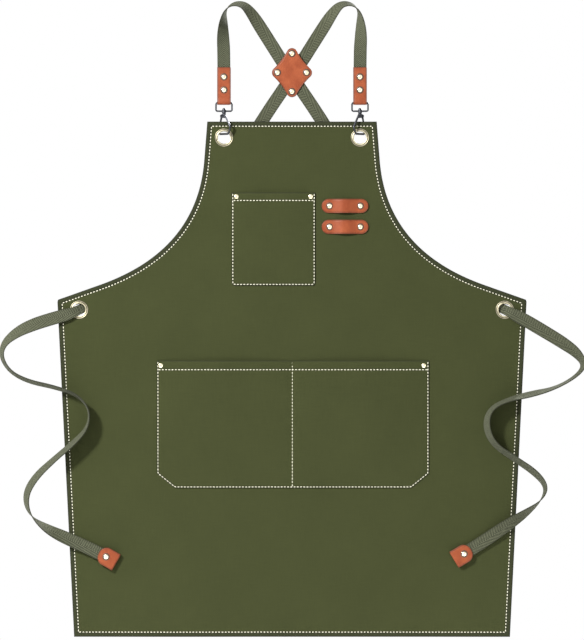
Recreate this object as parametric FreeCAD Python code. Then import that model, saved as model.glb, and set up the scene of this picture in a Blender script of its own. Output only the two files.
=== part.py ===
"""Cross-back canvas work apron, hung up by its two shoulder straps.

Millimetres, +Z up, the front of the apron faces -Y, and the wearer's side is +Y.  The
origin is the place it hangs from: midway between the two strap loops, level with their
undersides.  "left" and "right" are as seen from the front.
"""
import FreeCAD
import Part
import math
import os
from FreeCAD import Vector

# ---------------------------------------------------------------- driving dimensions
# canvas body
CANVAS = 1.2                 # thickness of the panel and of the pocket cloth
TOP_Z = -177.3               # top edge of the bib
TOP_HALF = 131.4             # half the width of the bib's top edge
BODY_HEIGHT = 799.2          # from the bib's top edge to the bottom edge
BIB_HEIGHT = 276.7           # from the top edge to the waist corners
BIB_FLARE = 4.5              # degrees by which the bib's sides spread downwards
WAIST_HALF = 364.0           # half the width at the waist corners
ARM_DROP = 19.5              # degrees by which the armhole falls towards the waist corner
ARM_UP = 140.0               # the armhole's curve starts this far above its corner
ARM_OUT = 160.0              # and ends this far past it
BOTTOM_HALF = 338.0
HEM = 9.0                    # width of the folded hem, which lies on the wearer's side
WAIST_Z = TOP_Z - BIB_HEIGHT
BOTTOM_Z = TOP_Z - BODY_HEIGHT

# eyelets
EYE_BORE = 19.0               # the hole left in the middle
EYE_FLANGE = 28.5
EYE_WALL = 0.8
EYE_FLANGE_THICK = 1.3
EYE_WASHER_THICK = 0.7
EYE_ROLL = 0.6               # height of the barrel's rolled end over its washer
BIB_EYE_Z = TOP_Z - 24.8
WAIST_EYE_X = WAIST_HALF - 33.8
WAIST_EYE_Z = WAIST_Z - 15.2

# pockets: width, height, how far the cloth stands off the panel, and the sewn rim
CHEST_LEFT = -93.4
CHEST_WIDTH = 129.5
CHEST_TOP = -287.8
CHEST_HEIGHT = 143.8
CHEST_GAP = 7.0
LOWER_WIDTH = 422.0
LOWER_CENTRE = 1.5
LOWER_TOP = -548.4
LOWER_HEIGHT = 197.3
LOWER_GAP = 9.0
LOWER_CUT_X = 28.0
LOWER_CUT_Z = 23.0
DIVIDER_X = 0.6
CHEST_RIVET_IN = 7.1         # rivets: distance from the side and from the mouth
CHEST_RIVET_DROP = 5.9
LOWER_RIVET_IN = (6.0, 8.2)
LOWER_RIVET_DROP = 7.3
POCKET_RIM = 12.6            # flat sewn rim, wide enough for the corner rivets
POCKET_SLOPE = 26.0          # run over which the cloth rises from the rim to its gap

# pen loops
PEN_LEFT = 45.9
PEN_LENGTH = 72.6
PEN_HEIGHT = 22.2
PEN_TOP_UPPER = -297.1
PEN_TOP_LOWER = -329.5
PEN_GAP = 5.5                # room behind the leather for a pen or a pencil
PEN_PAD = 20.0               # flat end that lies on the canvas under each rivet
PEN_RISE = 8.0
PEN_RIVET_INSET = 12.5

# leather and rivets
LEATHER = 1.8
RIVET_CAP = 8.4
RIVET_DOME = 1.7
RIVET_POST = 3.0
HOLE_CLEAR = 0.1             # clearance round every post, on the radius
LAY = 0.05                   # gap between layers that lie on each other
THROUGH = 30.0               # how far a cutting shape runs past what it cuts

# webbing
WEB_WIDTH = 20.0
WEB = 1.6
STRAP_X = 105.5              # the hooks, their tabs and the bib eyelets are on this line
TAB_TOP = -93.1
TAB_WIDTH = WEB_WIDTH + 1.0
TAB_RIVETS = (-108.1, -128.3)

# loops and snap hooks
LOOP_BAR_Z = -148.0
WEB_END_Z = LOOP_BAR_Z + 5.0   # the webbing's end, between the plies of the hook tab
LOOP_BOTTOM_Z = -161.2
LOOP_HALF = 12.4
LOOP_WIRE = 2.6
LOOP_CORNER = 2.6
BAR_CLEAR = 0.3
BOSS_RADIUS = 3.2
BOSS_HALF = 2.0
STEM_RADIUS = 1.5
STEM_CLEAR = 0.25
HEAD_RADIUS = 2.7
HOOK_WIRE = 3.2
HOOK_TURN = -40.0            # rest angle of the hook's plane from the bib's, about Z
HOOK_SEAT = 2.4              # play between the hook's wire and the top of the eyelet's bore
HOOK_BOTTOM_Z = BIB_EYE_Z + EYE_BORE / 2 - HOOK_SEAT - HOOK_WIRE / 2
HOOK_BEND = 2.6              # radius of the wire's bends
HOOK_REACH = 9.3             # from the stem's line to the hook's tip
TIP_Z = HOOK_BOTTOM_Z + 3.2
SHANK_TOP = LOOP_BOTTOM_Z - 4.2
SHANK_LOW = SHANK_TOP - 7.0
CHEEK = 1.9                  # half the thickness of the shank
GATE_THICK = 1.9
GATE_CLEAR = 0.2             # each side of the gate, in the shank's slot
GATE_TIP_GAP = 0.5
GATE_PIN_X = -4.5
GATE_PIN_Z = SHANK_TOP - 3.1
PIN_RADIUS = 0.8
PIN_CLEAR = 0.1
PIN_HEAD = 0.5               # how far the pin stands out of the shank
SPRING_RADIUS = 2.1
SPRING_LENGTH = 1.6

# leather diamond over the crossing of the straps
CROSS_Z = -101.0
CROSS_HALF_WIDTH = 31.1
CROSS_HALF_HEIGHT = 38.0
CROSS_TIP = 8.5
CROSS_WAIST = 1.5            # how far each long side is drawn in
CROSS_Y = 6.0                # middle of the crossing, behind the bib

# leather tabs on the ends of the waist ties
END_LENGTH = 31.0
END_WIDTH = WEB_WIDTH + 8.5
END_RIVET_BACK = 2.8
END_LEFT = (3.0, -30.0)      # how far the webbing runs past its middle; angle of its axis
END_RIGHT = (4.4, -149.0)
END_Y = -4.8

# routes of the webbing: X, Y, Z, twist in degrees (0 shows its face), share of its width
CROSS_LAY = CROSS_Y - WEB / 2 - LAY     # the strap in front lies here at the crossing
# in an eyelet the webbing narrows to what passes slantwise through the bore
THROAT = 0.84 * math.sqrt(EYE_BORE ** 2 - (4 * WEB) ** 2) / WEB_WIDTH
STRAP_RISE = [
    (-STRAP_X, 0, WEB_END_Z, 0, 1), (-STRAP_X, 0, -72, 0, 1), (-107, 0.4, -47, 20, 1),
    (-106.6, 1.6, -24, 50, 1), (-103.6, 2.4, -3.5, 88, 1), (-91, 3, 6.2, 110, 1),
    (-74.5, 3.6, 4.6, 128, 1), (-62, 4.2, -10, 150, 1), (-50, 4.8, -29, 172, 1),
    (-36, CROSS_LAY, -51, 180, 1), (-14, CROSS_LAY, -86, 180, 1),
    (10.5, CROSS_LAY, -122, 180, 1), (43, CROSS_LAY, -170, 180, 1), (76, 5, -224, 180, 1),
    (102, 4.8, -284, 180, 1), (123, 4.8, -345, 180, 1)]
# the rest of the strap and both ties, from the middle of the waist eyelet that they reach
STRAP_TO_EYE = [
    (-162.2, 4.6, 64.2, 180, 1), (-102.2, 4.6, 27.2, 180, 1), (-42.2, 4.6, 14.2, 180, 1),
    (-17.4, 4.6, 7.8, 180, 0.96), (-8.4, 4.2, 4, 180, THROAT), (0, 0, 0, 180, THROAT)]
TIE_LEFT = [
    (0, 0, 0, 0, THROAT), (-8.4, -4.2, -4, 0, THROAT), (-18.6, -4.6, -7.6, 0, 0.97),
    (-41.8, -5, -13.8, 5, 1), (-71.8, -6.5, -23.3, 14, 1), (-96.8, -9.5, -35.3, 38, 1),
    (-116.3, -12, -52.3, 60, 1), (-120.8, -12.6, -72.3, 70, 1),
    (-106.8, -12.6, -96.3, 75, 1), (-77.8, -12.6, -111.3, 71, 1),
    (-39.8, -12.6, -119.3, 72, 1), (-3.8, -12.6, -130.8, 76, 1),
    (16.7, -12.6, -152.8, 84, 1), (14.7, -12.6, -181.8, 78, 1),
    (-6.8, -12.6, -205.3, 66, 1), (-37.8, -12.6, -231.3, 66, 1),
    (-67.8, -12.6, -259.3, 56, 1), (-83.3, -12.6, -287.8, 58, 1),
    (-76.8, -12.6, -317.8, 76, 1), (-49.8, -11.5, -339.3, 128, 1),
    (-12.8, -8, -356.8, 172, 1), (18.2, -4.8, -370.8, 180, 1),
    (47.2, -4.8, -385.6, 180, 1)]
TIE_RIGHT = [
    (0, 0, 0, 0, THROAT), (8.4, -4.2, -4, 0, THROAT), (17.8, -4.6, -9.2, 0, 0.97),
    (35.8, -5, -18.8, 5, 1), (61.8, -6.5, -34.3, 12, 1), (88.8, -9.5, -50.8, 20, 1),
    (111.8, -12, -67.3, 44, 1), (123.3, -12.6, -85.8, 74, 1),
    (109.8, -12.6, -103.3, 82, 1), (77.8, -12.6, -121.3, 82, 1),
    (39.8, -12.6, -130.8, 62, 1), (2.8, -12.6, -139.3, 76, 1),
    (-23.7, -12.6, -153.3, 74, 1), (-30.7, -12.6, -178.8, 62, 1),
    (-19.2, -12.6, -208.3, 66, 1), (14.8, -12.6, -230.8, 64, 1),
    (46.8, -12.6, -252.3, 60, 1), (64.3, -12.6, -273.8, 74, 1),
    (56.8, -12.6, -294.8, 92, 1), (31.8, -12, -314.8, 128, 1), (-2.2, -9, -337.3, 166, 1),
    (-36.2, -4.8, -361.3, 180, 1), (-69.7, -4.8, -382, 180, 1)]
STATION_TURN = 15.0          # degrees of bend between two stations on an arc

FRONT = -CANVAS / 2
BACK = CANVAS / 2
BEHIND_HEM = BACK + CANVAS
X_AXIS, Y_AXIS, Z_AXIS = Vector(1, 0, 0), Vector(0, 1, 0), Vector(0, 0, 1)
nodes = {}


# ---------------------------------------------------------------- small shape helpers
def box(x0, x1, y0, y1, z0, z1):
    """A block between two corners."""
    return Part.makeBox(x1 - x0, y1 - y0, z1 - z0, Vector(x0, y0, z0))


def rod_y(x, z, radius, y0, y1):
    """A cylinder along Y."""
    return Part.makeCylinder(radius, y1 - y0, Vector(x, y0, z), Y_AXIS)


def prism_y(edges, y0, y1):
    """The outline in the XZ plane, drawn at y0, carried through to y1."""
    face = Part.Face(Part.Wire(edges))
    face.translate(Vector(0, y0, 0))
    return face.extrude(Vector(0, y1 - y0, 0))


def lines(points, close=True):
    """Straight edges through (x, z) points."""
    corners = [Vector(x, 0, z) for x, z in points]
    if close:
        corners.append(corners[0])
    return [Part.LineSegment(a, b).toShape() for a, b in zip(corners, corners[1:])]


def arc(a, b, c):
    """An arc through three (x, z) points."""
    return Part.Arc(*(Vector(x, 0, z) for x, z in (a, b, c))).toShape()


def ring_about_y(x, z, profile):
    """A closed (radius, y) profile turned about the line through (x, z) along Y."""
    corners = [Vector(x + r, y, z) for r, y in profile]
    wire = Part.makePolygon(corners + corners[:1])
    return Part.Face(wire).revolve(Vector(x, 0, z), Y_AXIS, 360)


def mirrored(shape):
    """The same thing on the other side of the apron."""
    return shape.mirror(Vector(0, 0, 0), X_AXIS)


def pair(name, left_shape):
    """One piece for each side, the right one mirrored."""
    nodes[name + "_left"] = left_shape
    nodes[name + "_right"] = mirrored(left_shape)


def rivet(x, z, y_front, y_back):
    """A tubular rivet: a domed cap on each face and the post between them."""
    cap, dome = RIVET_CAP / 2, RIVET_DOME
    half = [(0, y_front - dome), (cap * 0.45, y_front - dome * 0.92),
            (cap * 0.8, y_front - dome * 0.62), (cap, y_front - dome * 0.2),
            (cap, y_front), (RIVET_POST / 2, y_front), (RIVET_POST / 2, y_back),
            (cap, y_back), (cap, y_back + dome * 0.3), (cap * 0.7, y_back + dome * 0.6),
            (0, y_back + dome * 0.6)]
    return ring_about_y(x, z, half)


def post_hole(x, z):
    """What a rivet's post takes out of the layers that it goes through."""
    return rod_y(x, z, RIVET_POST / 2 + HOLE_CLEAR, -THROUGH, THROUGH)


# ---------------------------------------------------------------- webbing
def rounded_path(route):
    """Stations along straight runs joined by tangent arcs.

    Each arc is as large as its two runs allow.  A station is (place, twist, width); twist
    and width change evenly from one point of the route to the next.
    """
    points = [Vector(*p[:3]) for p in route]
    twists = [p[3] for p in route]
    widths = [p[4] * WEB_WIDTH for p in route]
    count = len(points)
    stations = [(points[0], twists[0], widths[0])]
    radii, length = [], 0.0
    for i in range(1, count - 1):
        before, here, after = points[i - 1], points[i], points[i + 1]
        a, b = before - here, after - here
        run_a, run_b = a.Length, b.Length
        turn = math.pi - a.getAngle(b)
        a.normalize()
        b.normalize()
        reach = 0.45 * min(run_a, run_b)
        steps = max(1, math.ceil(math.degrees(turn) / STATION_TURN))
        if turn < math.radians(1.0):
            stations.append((here, twists[i], widths[i]))
            continue
        radius = reach / math.tan(turn / 2)
        radii.append(radius)
        middle = a + b
        middle.normalize()
        centre = here + middle * (radius / math.cos(turn / 2))
        start, end = here + a * reach - centre, here + b * reach - centre
        for k in range(steps + 1):
            share = k / steps
            place = centre + (start * math.sin((1 - share) * turn)
                              + end * math.sin(share * turn)) * (1 / math.sin(turn))
            lean = (share - 0.5) * reach * 2
            other = i + 1 if lean > 0 else i - 1
            run = run_b if lean > 0 else run_a
            blend = abs(lean) / run
            twist = twists[i] * (1 - blend) + twists[other] * blend
            width = widths[i] * (1 - blend) + widths[other] * blend
            stations.append((place, twist, width))
    stations.append((points[-1], twists[-1], widths[-1]))
    for (a, _, _), (b, _, _) in zip(stations, stations[1:]):
        length += (b - a).Length
    return stations, radii, length


def ribbon(name, route):
    """Flat webbing along a route, with its twist, as a solid of flat facets."""
    stations, radii, length = rounded_path(route)
    rings = []
    for i, (place, twist, width) in enumerate(stations):
        before = stations[max(i - 1, 0)][0]
        after = stations[min(i + 1, len(stations) - 1)][0]
        along = (after - before).normalize()
        across = Y_AXIS.cross(along).normalize()
        out = along.cross(across).normalize()
        angle = math.radians(twist)
        flat = across * math.cos(angle) + out * math.sin(angle)
        thick = along.cross(flat)
        corners = [(-1, -1), (1, -1), (1, 1), (-1, 1)]
        rings.append([place + flat * (u * width / 2) + thick * (v * WEB / 2)
                      for u, v in corners])
    faces = [Part.Face(Part.makePolygon(rings[0] + rings[0][:1])),
             Part.Face(Part.makePolygon(rings[-1] + rings[-1][:1]))]
    for ring, following in zip(rings, rings[1:]):
        for k in range(4):
            j = (k + 1) % 4
            if k < 2:        # opposite sides are split along parallel diagonals
                facets = ((ring[k], ring[j], following[j]), (ring[k], following[j], following[k]))
            else:
                facets = ((ring[k], ring[j], following[k]), (ring[j], following[j], following[k]))
            for corners in facets:
                faces.append(Part.Face(Part.makePolygon(list(corners) + [corners[0]])))
    solid = Part.Solid(Part.Shell(faces))
    if solid.Volume < 0:
        solid.reverse()
    mean_width = sum(width for _, _, width in stations) / len(stations)
    print(name, "length %.0f mm, tightest radius %.0f mm" % (length, min(radii)),
          "radii", [round(r) for r in radii])
    print(name, "volume %.0f, section times length %.0f, valid %s"
          % (solid.Volume, WEB * mean_width * length, solid.isValid()))
    return solid


# ---------------------------------------------------------------- canvas panel
def meet(p, angle_p, q, angle_q):
    """Where the line through p at angle_p crosses the line through q at angle_q."""
    dx, dz = math.cos(angle_p), math.sin(angle_p)
    ex, ez = math.cos(angle_q), math.sin(angle_q)
    t = ((q[0] - p[0]) * ez - (q[1] - p[1]) * ex) / (dx * ez - dz * ex)
    return (p[0] + t * dx, p[1] + t * dz)


def outline(inset):
    """Edges of the right half, from top to bottom, moved inwards by inset.

    Each side is a line through a point at an angle.  The armhole is a parabola tangent to
    the side of the bib and to the slope that falls to the waist corner.
    """
    bib = math.radians(-90 + BIB_FLARE)
    arm = math.radians(-ARM_DROP)
    side = math.atan2(BOTTOM_Z - WAIST_Z, BOTTOM_HALF - WAIST_HALF)

    def moved(p, angle):
        return (p[0] + inset * math.sin(angle), p[1] - inset * math.cos(angle))

    bib_at = moved((TOP_HALF, TOP_Z), bib)
    arm_at = moved((WAIST_HALF, WAIST_Z), arm)
    side_at = moved((WAIST_HALF, WAIST_Z), side)
    top = meet((0, TOP_Z - inset), 0.0, bib_at, bib)
    elbow = meet(bib_at, bib, arm_at, arm)
    waist = meet(arm_at, arm, side_at, side)
    foot = meet(side_at, side, (0, BOTTOM_Z + inset), 0.0)
    extra = inset * math.tan((arm - bib) / 2)
    start = (elbow[0] - (ARM_UP + extra) * math.cos(bib),
             elbow[1] - (ARM_UP + extra) * math.sin(bib))
    end = (elbow[0] + (ARM_OUT + extra) * math.cos(arm),
           elbow[1] + (ARM_OUT + extra) * math.sin(arm))
    return top, start, elbow, end, waist, foot


def canvas_outline(inset):
    """The whole closed outline, both halves."""
    top, start, elbow, end, waist, foot = outline(inset)
    armhole = Part.BezierCurve()
    armhole.setPoles([Vector(x, 0, z) for x, z in (start, elbow, end)])
    right = lines([top, start], False) + [armhole.toShape()]
    right += lines([end, waist, foot], False)
    left = [mirrored(edge) for edge in right]
    joins = lines([(-top[0], top[1]), top], False) + lines([(-foot[0], foot[1]), foot], False)
    return Part.__sortEdges__(right + left + joins)


EYES = [(sign * x, z) for sign in (-1, 1)
        for x, z in ((STRAP_X, BIB_EYE_Z), (WAIST_EYE_X, WAIST_EYE_Z))]
CHEST_RIVETS = [(CHEST_LEFT + CHEST_RIVET_IN, CHEST_TOP - CHEST_RIVET_DROP),
                (CHEST_LEFT + CHEST_WIDTH - CHEST_RIVET_IN, CHEST_TOP - CHEST_RIVET_DROP)]
LOWER_LEFT = LOWER_CENTRE - LOWER_WIDTH / 2
LOWER_RIGHT = LOWER_CENTRE + LOWER_WIDTH / 2
LOWER_RIVETS = [(LOWER_LEFT + LOWER_RIVET_IN[0], LOWER_TOP - LOWER_RIVET_DROP),
                (LOWER_RIGHT - LOWER_RIVET_IN[1], LOWER_TOP - LOWER_RIVET_DROP)]
PEN_RIVETS = {}
for level, pen_top in (("upper", PEN_TOP_UPPER), ("lower", PEN_TOP_LOWER)):
    PEN_RIVETS[level] = [(PEN_LEFT + PEN_RIVET_INSET, pen_top - PEN_HEIGHT / 2),
                         (PEN_LEFT + PEN_LENGTH - PEN_RIVET_INSET, pen_top - PEN_HEIGHT / 2)]

barrel = EYE_BORE / 2 + EYE_WALL
panel = prism_y(canvas_outline(0.0), FRONT, BACK)
hem = prism_y(canvas_outline(0.0), BACK, BEHIND_HEM)
panel = panel.fuse(hem.cut(prism_y(canvas_outline(HEM), BACK, BEHIND_HEM)))
for x, z in EYES:
    panel = panel.cut(rod_y(x, z, barrel + HOLE_CLEAR, -THROUGH, THROUGH))
for x, z in CHEST_RIVETS + LOWER_RIVETS + PEN_RIVETS["upper"] + PEN_RIVETS["lower"]:
    panel = panel.cut(post_hole(x, z))
nodes["apron_panel"] = panel.removeSplitter()


# ---------------------------------------------------------------- pockets
def pocket(points, gap, seams):
    """A cloth tray sewn flat round its rim and standing off the panel by gap.

    points are its corners, clockwise from the left end of the open mouth; seams are the
    edges that are sewn, each as its two end points with the cloth on the right hand side.
    """
    rear = FRONT - LAY
    outer = prism_y(lines(points), rear - gap - CANVAS, rear)
    inner = prism_y(lines(points), rear - gap, rear)
    inner = inner.fuse(inner.translated(Vector(0, 0, CANVAS)))
    for (ax, az), (bx, bz) in seams:
        along = Vector(bx - ax, 0, bz - az)
        length = along.Length
        along.normalize()
        inward = Y_AXIS.cross(along)
        start = Vector(ax, rear, az) - along * length
        for shell, lift in ((outer, CANVAS), (inner, 0.0)):
            rim, top = POCKET_RIM, POCKET_RIM + POCKET_SLOPE
            above = gap + lift + THROUGH
            shape = [(-THROUGH, lift), (rim, lift), (top, gap + lift), (top, above),
                     (-THROUGH, above)]
            corners = [start + inward * u - Y_AXIS * v for u, v in shape]
            wedge = Part.Face(Part.makePolygon(corners + corners[:1]))
            wedge = wedge.extrude(along * (length * 3))
            if shell is outer:
                outer = outer.cut(wedge)
            else:
                inner = inner.cut(wedge)
    return outer.cut(inner)


chest_bottom = CHEST_TOP - CHEST_HEIGHT
chest_right = CHEST_LEFT + CHEST_WIDTH
chest = [(CHEST_LEFT, CHEST_TOP), (chest_right, CHEST_TOP), (chest_right, chest_bottom),
         (CHEST_LEFT, chest_bottom)]
chest_pocket = pocket(chest, CHEST_GAP, [(chest[1], chest[2]), (chest[2], chest[3]),
                                         (chest[3], chest[0])])
for x, z in CHEST_RIVETS:
    chest_pocket = chest_pocket.cut(post_hole(x, z))
nodes["chest_pocket"] = chest_pocket

lower_bottom = LOWER_TOP - LOWER_HEIGHT
divider = [(DIVIDER_X, LOWER_TOP), (DIVIDER_X, lower_bottom)]
left_half = [(LOWER_LEFT, LOWER_TOP), divider[0], divider[1],
             (LOWER_LEFT + LOWER_CUT_X, lower_bottom), (LOWER_LEFT, lower_bottom + LOWER_CUT_Z)]
right_half = [divider[0], (LOWER_RIGHT, LOWER_TOP), (LOWER_RIGHT, lower_bottom + LOWER_CUT_Z),
              (LOWER_RIGHT - LOWER_CUT_X, lower_bottom), divider[1]]
halves = []
for corners in (left_half, right_half):
    closed = corners[1:] + corners[:1]
    halves.append(pocket(corners, LOWER_GAP, list(zip(closed, closed[1:]))))
lower_pocket = halves[0].fuse(halves[1]).removeSplitter()
for x, z in LOWER_RIVETS:
    lower_pocket = lower_pocket.cut(post_hole(x, z))
nodes["lower_pocket"] = lower_pocket

cloth_front = FRONT - LAY - CANVAS
rivet_back = BACK + LAY
nodes["chest_pocket_rivets"] = Part.makeCompound(
    [rivet(x, z, cloth_front - LAY, rivet_back) for x, z in CHEST_RIVETS])
nodes["lower_pocket_rivets"] = Part.makeCompound(
    [rivet(x, z, cloth_front - LAY, rivet_back) for x, z in LOWER_RIVETS])


# ---------------------------------------------------------------- pen loops
def pen_loop(top_z):
    """A leather strip with round ends, bowed off the canvas between its rivets."""
    z0, z1 = top_z - PEN_HEIGHT, top_z
    x0, x1 = PEN_LEFT, PEN_LEFT + PEN_LENGTH
    half = PEN_HEIGHT / 2
    mid = (z0 + z1) / 2
    flat = lines([(x0 + half, z1), (x1 - half, z1)], False)
    flat += [arc((x1 - half, z1), (x1, mid), (x1 - half, z0))]
    flat += lines([(x1 - half, z0), (x0 + half, z0)], False)
    flat += [arc((x0 + half, z0), (x0, mid), (x0 + half, z1))]
    rear = FRONT - LAY
    up = rear - PEN_GAP
    inner = [(x0, rear), (x0 + PEN_PAD, rear), (x0 + PEN_PAD + PEN_RISE, up),
             (x1 - PEN_PAD - PEN_RISE, up), (x1 - PEN_PAD, rear), (x1, rear)]
    outer = [(x, y - LEATHER) for x, y in reversed(inner)]
    corners = [Vector(x, y, z0) for x, y in inner + outer]
    band = Part.Face(Part.makePolygon(corners + corners[:1])).extrude(Vector(0, 0, PEN_HEIGHT))
    return band.common(prism_y(flat, up - LEATHER, rear))


for level, pen_top in (("upper", PEN_TOP_UPPER), ("lower", PEN_TOP_LOWER)):
    loop = pen_loop(pen_top)
    for x, z in PEN_RIVETS[level]:
        loop = loop.cut(post_hole(x, z))
    nodes["pen_loop_" + level] = loop
    nodes["pen_loop_rivets_" + level] = Part.makeCompound(
        [rivet(x, z, FRONT - 2 * LAY - LEATHER, rivet_back) for x, z in PEN_RIVETS[level]])


# ---------------------------------------------------------------- eyelets
def eyelet(x, z):
    """Front half: a rounded flange and the barrel, rolled over its washer at the back."""
    bore, wall, rim = EYE_BORE / 2, EYE_BORE / 2 + EYE_WALL, EYE_FLANGE / 2
    face = FRONT - LAY
    front = face - EYE_FLANGE_THICK
    washer = BACK + LAY + EYE_WASHER_THICK + LAY
    profile = [(bore, front + 0.5), (bore + 0.5, front), (rim - 1.4, front),
               (rim - 0.3, front + 0.5), (rim, face), (wall, face), (wall, washer),
               (wall + 0.9, washer), (wall + 0.9, washer + EYE_ROLL * 0.6),
               (wall + 0.3, washer + EYE_ROLL), (bore, washer + EYE_ROLL * 0.6)]
    return ring_about_y(x, z, profile)


def eyelet_washer(x, z):
    """The ring behind the cloth that the barrel is rolled over."""
    inner, rim = EYE_BORE / 2 + EYE_WALL + LAY, EYE_FLANGE / 2
    y0 = BACK + LAY
    y1 = y0 + EYE_WASHER_THICK
    return ring_about_y(x, z, [(inner, y0), (rim, y0), (rim, y1 - 0.3), (rim - 0.4, y1),
                               (inner, y1)])


pair("bib_eyelet", eyelet(-STRAP_X, BIB_EYE_Z))
pair("bib_eyelet_washer", eyelet_washer(-STRAP_X, BIB_EYE_Z))
pair("waist_eyelet", eyelet(-WAIST_EYE_X, WAIST_EYE_Z))
pair("waist_eyelet_washer", eyelet_washer(-WAIST_EYE_X, WAIST_EYE_Z))

# ---------------------------------------------------------------- straps and ties
def from_eyelet(route, side):
    """A route whose points are given from the middle of a waist eyelet."""
    return [(side * WAIST_EYE_X + x, y, WAIST_EYE_Z + z, twist, width)
            for x, y, z, twist, width in route]


left_route = STRAP_RISE + from_eyelet(STRAP_TO_EYE, 1)
behind = WEB + 2 * LAY       # the right strap lies behind the left one where they cross
right_route = []
for i, (x, y, z, twist, width) in enumerate(left_route):
    further = behind if y > 3.0 and i < len(left_route) - 2 else 0.0
    right_route.append((-x, y + further, z, -twist, width))
tie_routes = {"left": from_eyelet(TIE_LEFT, -1), "right": from_eyelet(TIE_RIGHT, 1)}
nodes["shoulder_strap_left"] = ribbon("shoulder_strap_left", left_route)
nodes["shoulder_strap_right"] = ribbon("shoulder_strap_right", right_route)
nodes["waist_tie_left"] = ribbon("waist_tie_left", tie_routes["left"])
nodes["waist_tie_right"] = ribbon("waist_tie_right", tie_routes["right"])


# ---------------------------------------------------------------- leather diamond
def diamond_edges():
    """Four round tips joined by long sides that are drawn in a little."""
    a, b, r = CROSS_HALF_HEIGHT - CROSS_TIP, CROSS_HALF_WIDTH - CROSS_TIP, CROSS_TIP
    span = math.hypot(a, b)
    nx, nz = a / span, b / span
    side = [(r * nx, a + r * nz),
            (b / 2 + (r - CROSS_WAIST) * nx, a / 2 + (r - CROSS_WAIST) * nz),
            (b + r * nx, r * nz)]
    edges = []
    for sx, sz in ((1, 1), (1, -1), (-1, -1), (-1, 1)):
        edges.append(arc(*((sx * x, CROSS_Z + sz * z) for x, z in side)))
    for sign in (1, -1):
        edges.append(arc((-r * nx, CROSS_Z + sign * (a + r * nz)),
                         (0, CROSS_Z + sign * (a + r)), (r * nx, CROSS_Z + sign * (a + r * nz))))
        edges.append(arc((sign * (b + r * nx), CROSS_Z - r * nz), (sign * (b + r), CROSS_Z),
                         (sign * (b + r * nx), CROSS_Z + r * nz)))
    return Part.__sortEdges__(edges)


CROSS_RIVETS = [(0, CROSS_Z + CROSS_HALF_HEIGHT - CROSS_TIP),
                (0, CROSS_Z - CROSS_HALF_HEIGHT + CROSS_TIP),
                (CROSS_HALF_WIDTH - CROSS_TIP, CROSS_Z), (CROSS_TIP - CROSS_HALF_WIDTH, CROSS_Z)]
cross_front = CROSS_Y - WEB - 2 * LAY
cross_back = CROSS_Y + WEB + 2 * LAY
for name, y0 in (("cross_patch_front", cross_front - LEATHER), ("cross_patch_back", cross_back)):
    patch = prism_y(diamond_edges(), y0, y0 + LEATHER)
    for x, z in CROSS_RIVETS:
        patch = patch.cut(post_hole(x, z))
    nodes[name] = patch
nodes["cross_patch_rivets"] = Part.makeCompound(
    [rivet(x, z, cross_front - LEATHER - LAY, cross_back + LEATHER + LAY)
     for x, z in CROSS_RIVETS])

# ---------------------------------------------------------------- hook tabs
ply_in = WEB / 2 + LAY
ply_out = ply_in + LEATHER
fold_in = LOOP_WIRE / 2 + BAR_CLEAR
fold_out = fold_in + LEATHER
x0, x1 = -STRAP_X - TAB_WIDTH / 2, -STRAP_X + TAB_WIDTH / 2
tab = box(x0, x1, -ply_out, -ply_in, LOOP_BAR_Z, TAB_TOP)
tab = tab.fuse(box(x0, x1, ply_in, ply_out, LOOP_BAR_Z, TAB_TOP))
tab = tab.fuse(Part.makeCylinder(fold_out, TAB_WIDTH, Vector(x0, 0, LOOP_BAR_Z), X_AXIS))
slit = box(x0 - 1, x1 + 1, -ply_in, ply_in, LOOP_BAR_Z, TAB_TOP)
tab = tab.cut(slit)
tab = tab.cut(Part.makeCylinder(fold_in, TAB_WIDTH + 2, Vector(x0 - 1, 0, LOOP_BAR_Z), X_AXIS))
for z in TAB_RIVETS:
    tab = tab.cut(post_hole(-STRAP_X, z))
pair("hook_tab", tab.removeSplitter())
pair("hook_tab_rivets", Part.makeCompound(
    [rivet(-STRAP_X, z, -ply_out - LAY, ply_out + LAY) for z in TAB_RIVETS]))
for side, sign in (("left", -1), ("right", 1)):
    strap = nodes["shoulder_strap_" + side]
    for z in TAB_RIVETS:
        strap = strap.cut(post_hole(sign * STRAP_X, z))
    nodes["shoulder_strap_" + side] = strap


# ---------------------------------------------------------------- wire loops
def wire_along(edges, diameter):
    """A round wire swept along a plane path of lines and tangent arcs."""
    path = Part.Wire(Part.__sortEdges__(edges))
    first = path.OrderedEdges[0]
    start = first.valueAt(first.FirstParameter)
    along = first.tangentAt(first.FirstParameter)
    circle = Part.Wire(Part.makeCircle(diameter / 2, start, along))
    return path.makePipeShell([circle], True, True, 2)


def rounded_run(points, radius):
    """Lines through (x, z) points, each corner turned on an arc of the radius."""
    edges, last = [], Vector(points[0][0], 0, points[0][1])
    for a, b, c in zip(points, points[1:], points[2:]):
        here = Vector(b[0], 0, b[1])
        back = (Vector(a[0], 0, a[1]) - here).normalize()
        on = (Vector(c[0], 0, c[1]) - here).normalize()
        half = (math.pi - back.getAngle(on)) / 2
        reach = radius * math.tan(half)
        start, end = here + back * reach, here + on * reach
        inside = (back + on).normalize()
        middle = here + inside * (radius / math.cos(half) - radius)
        edges.append(Part.LineSegment(last, start).toShape())
        edges.append(Part.Arc(start, middle, end).toShape())
        last = end
    edges.append(Part.LineSegment(last, Vector(points[-1][0], 0, points[-1][1])).toShape())
    return edges


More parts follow.
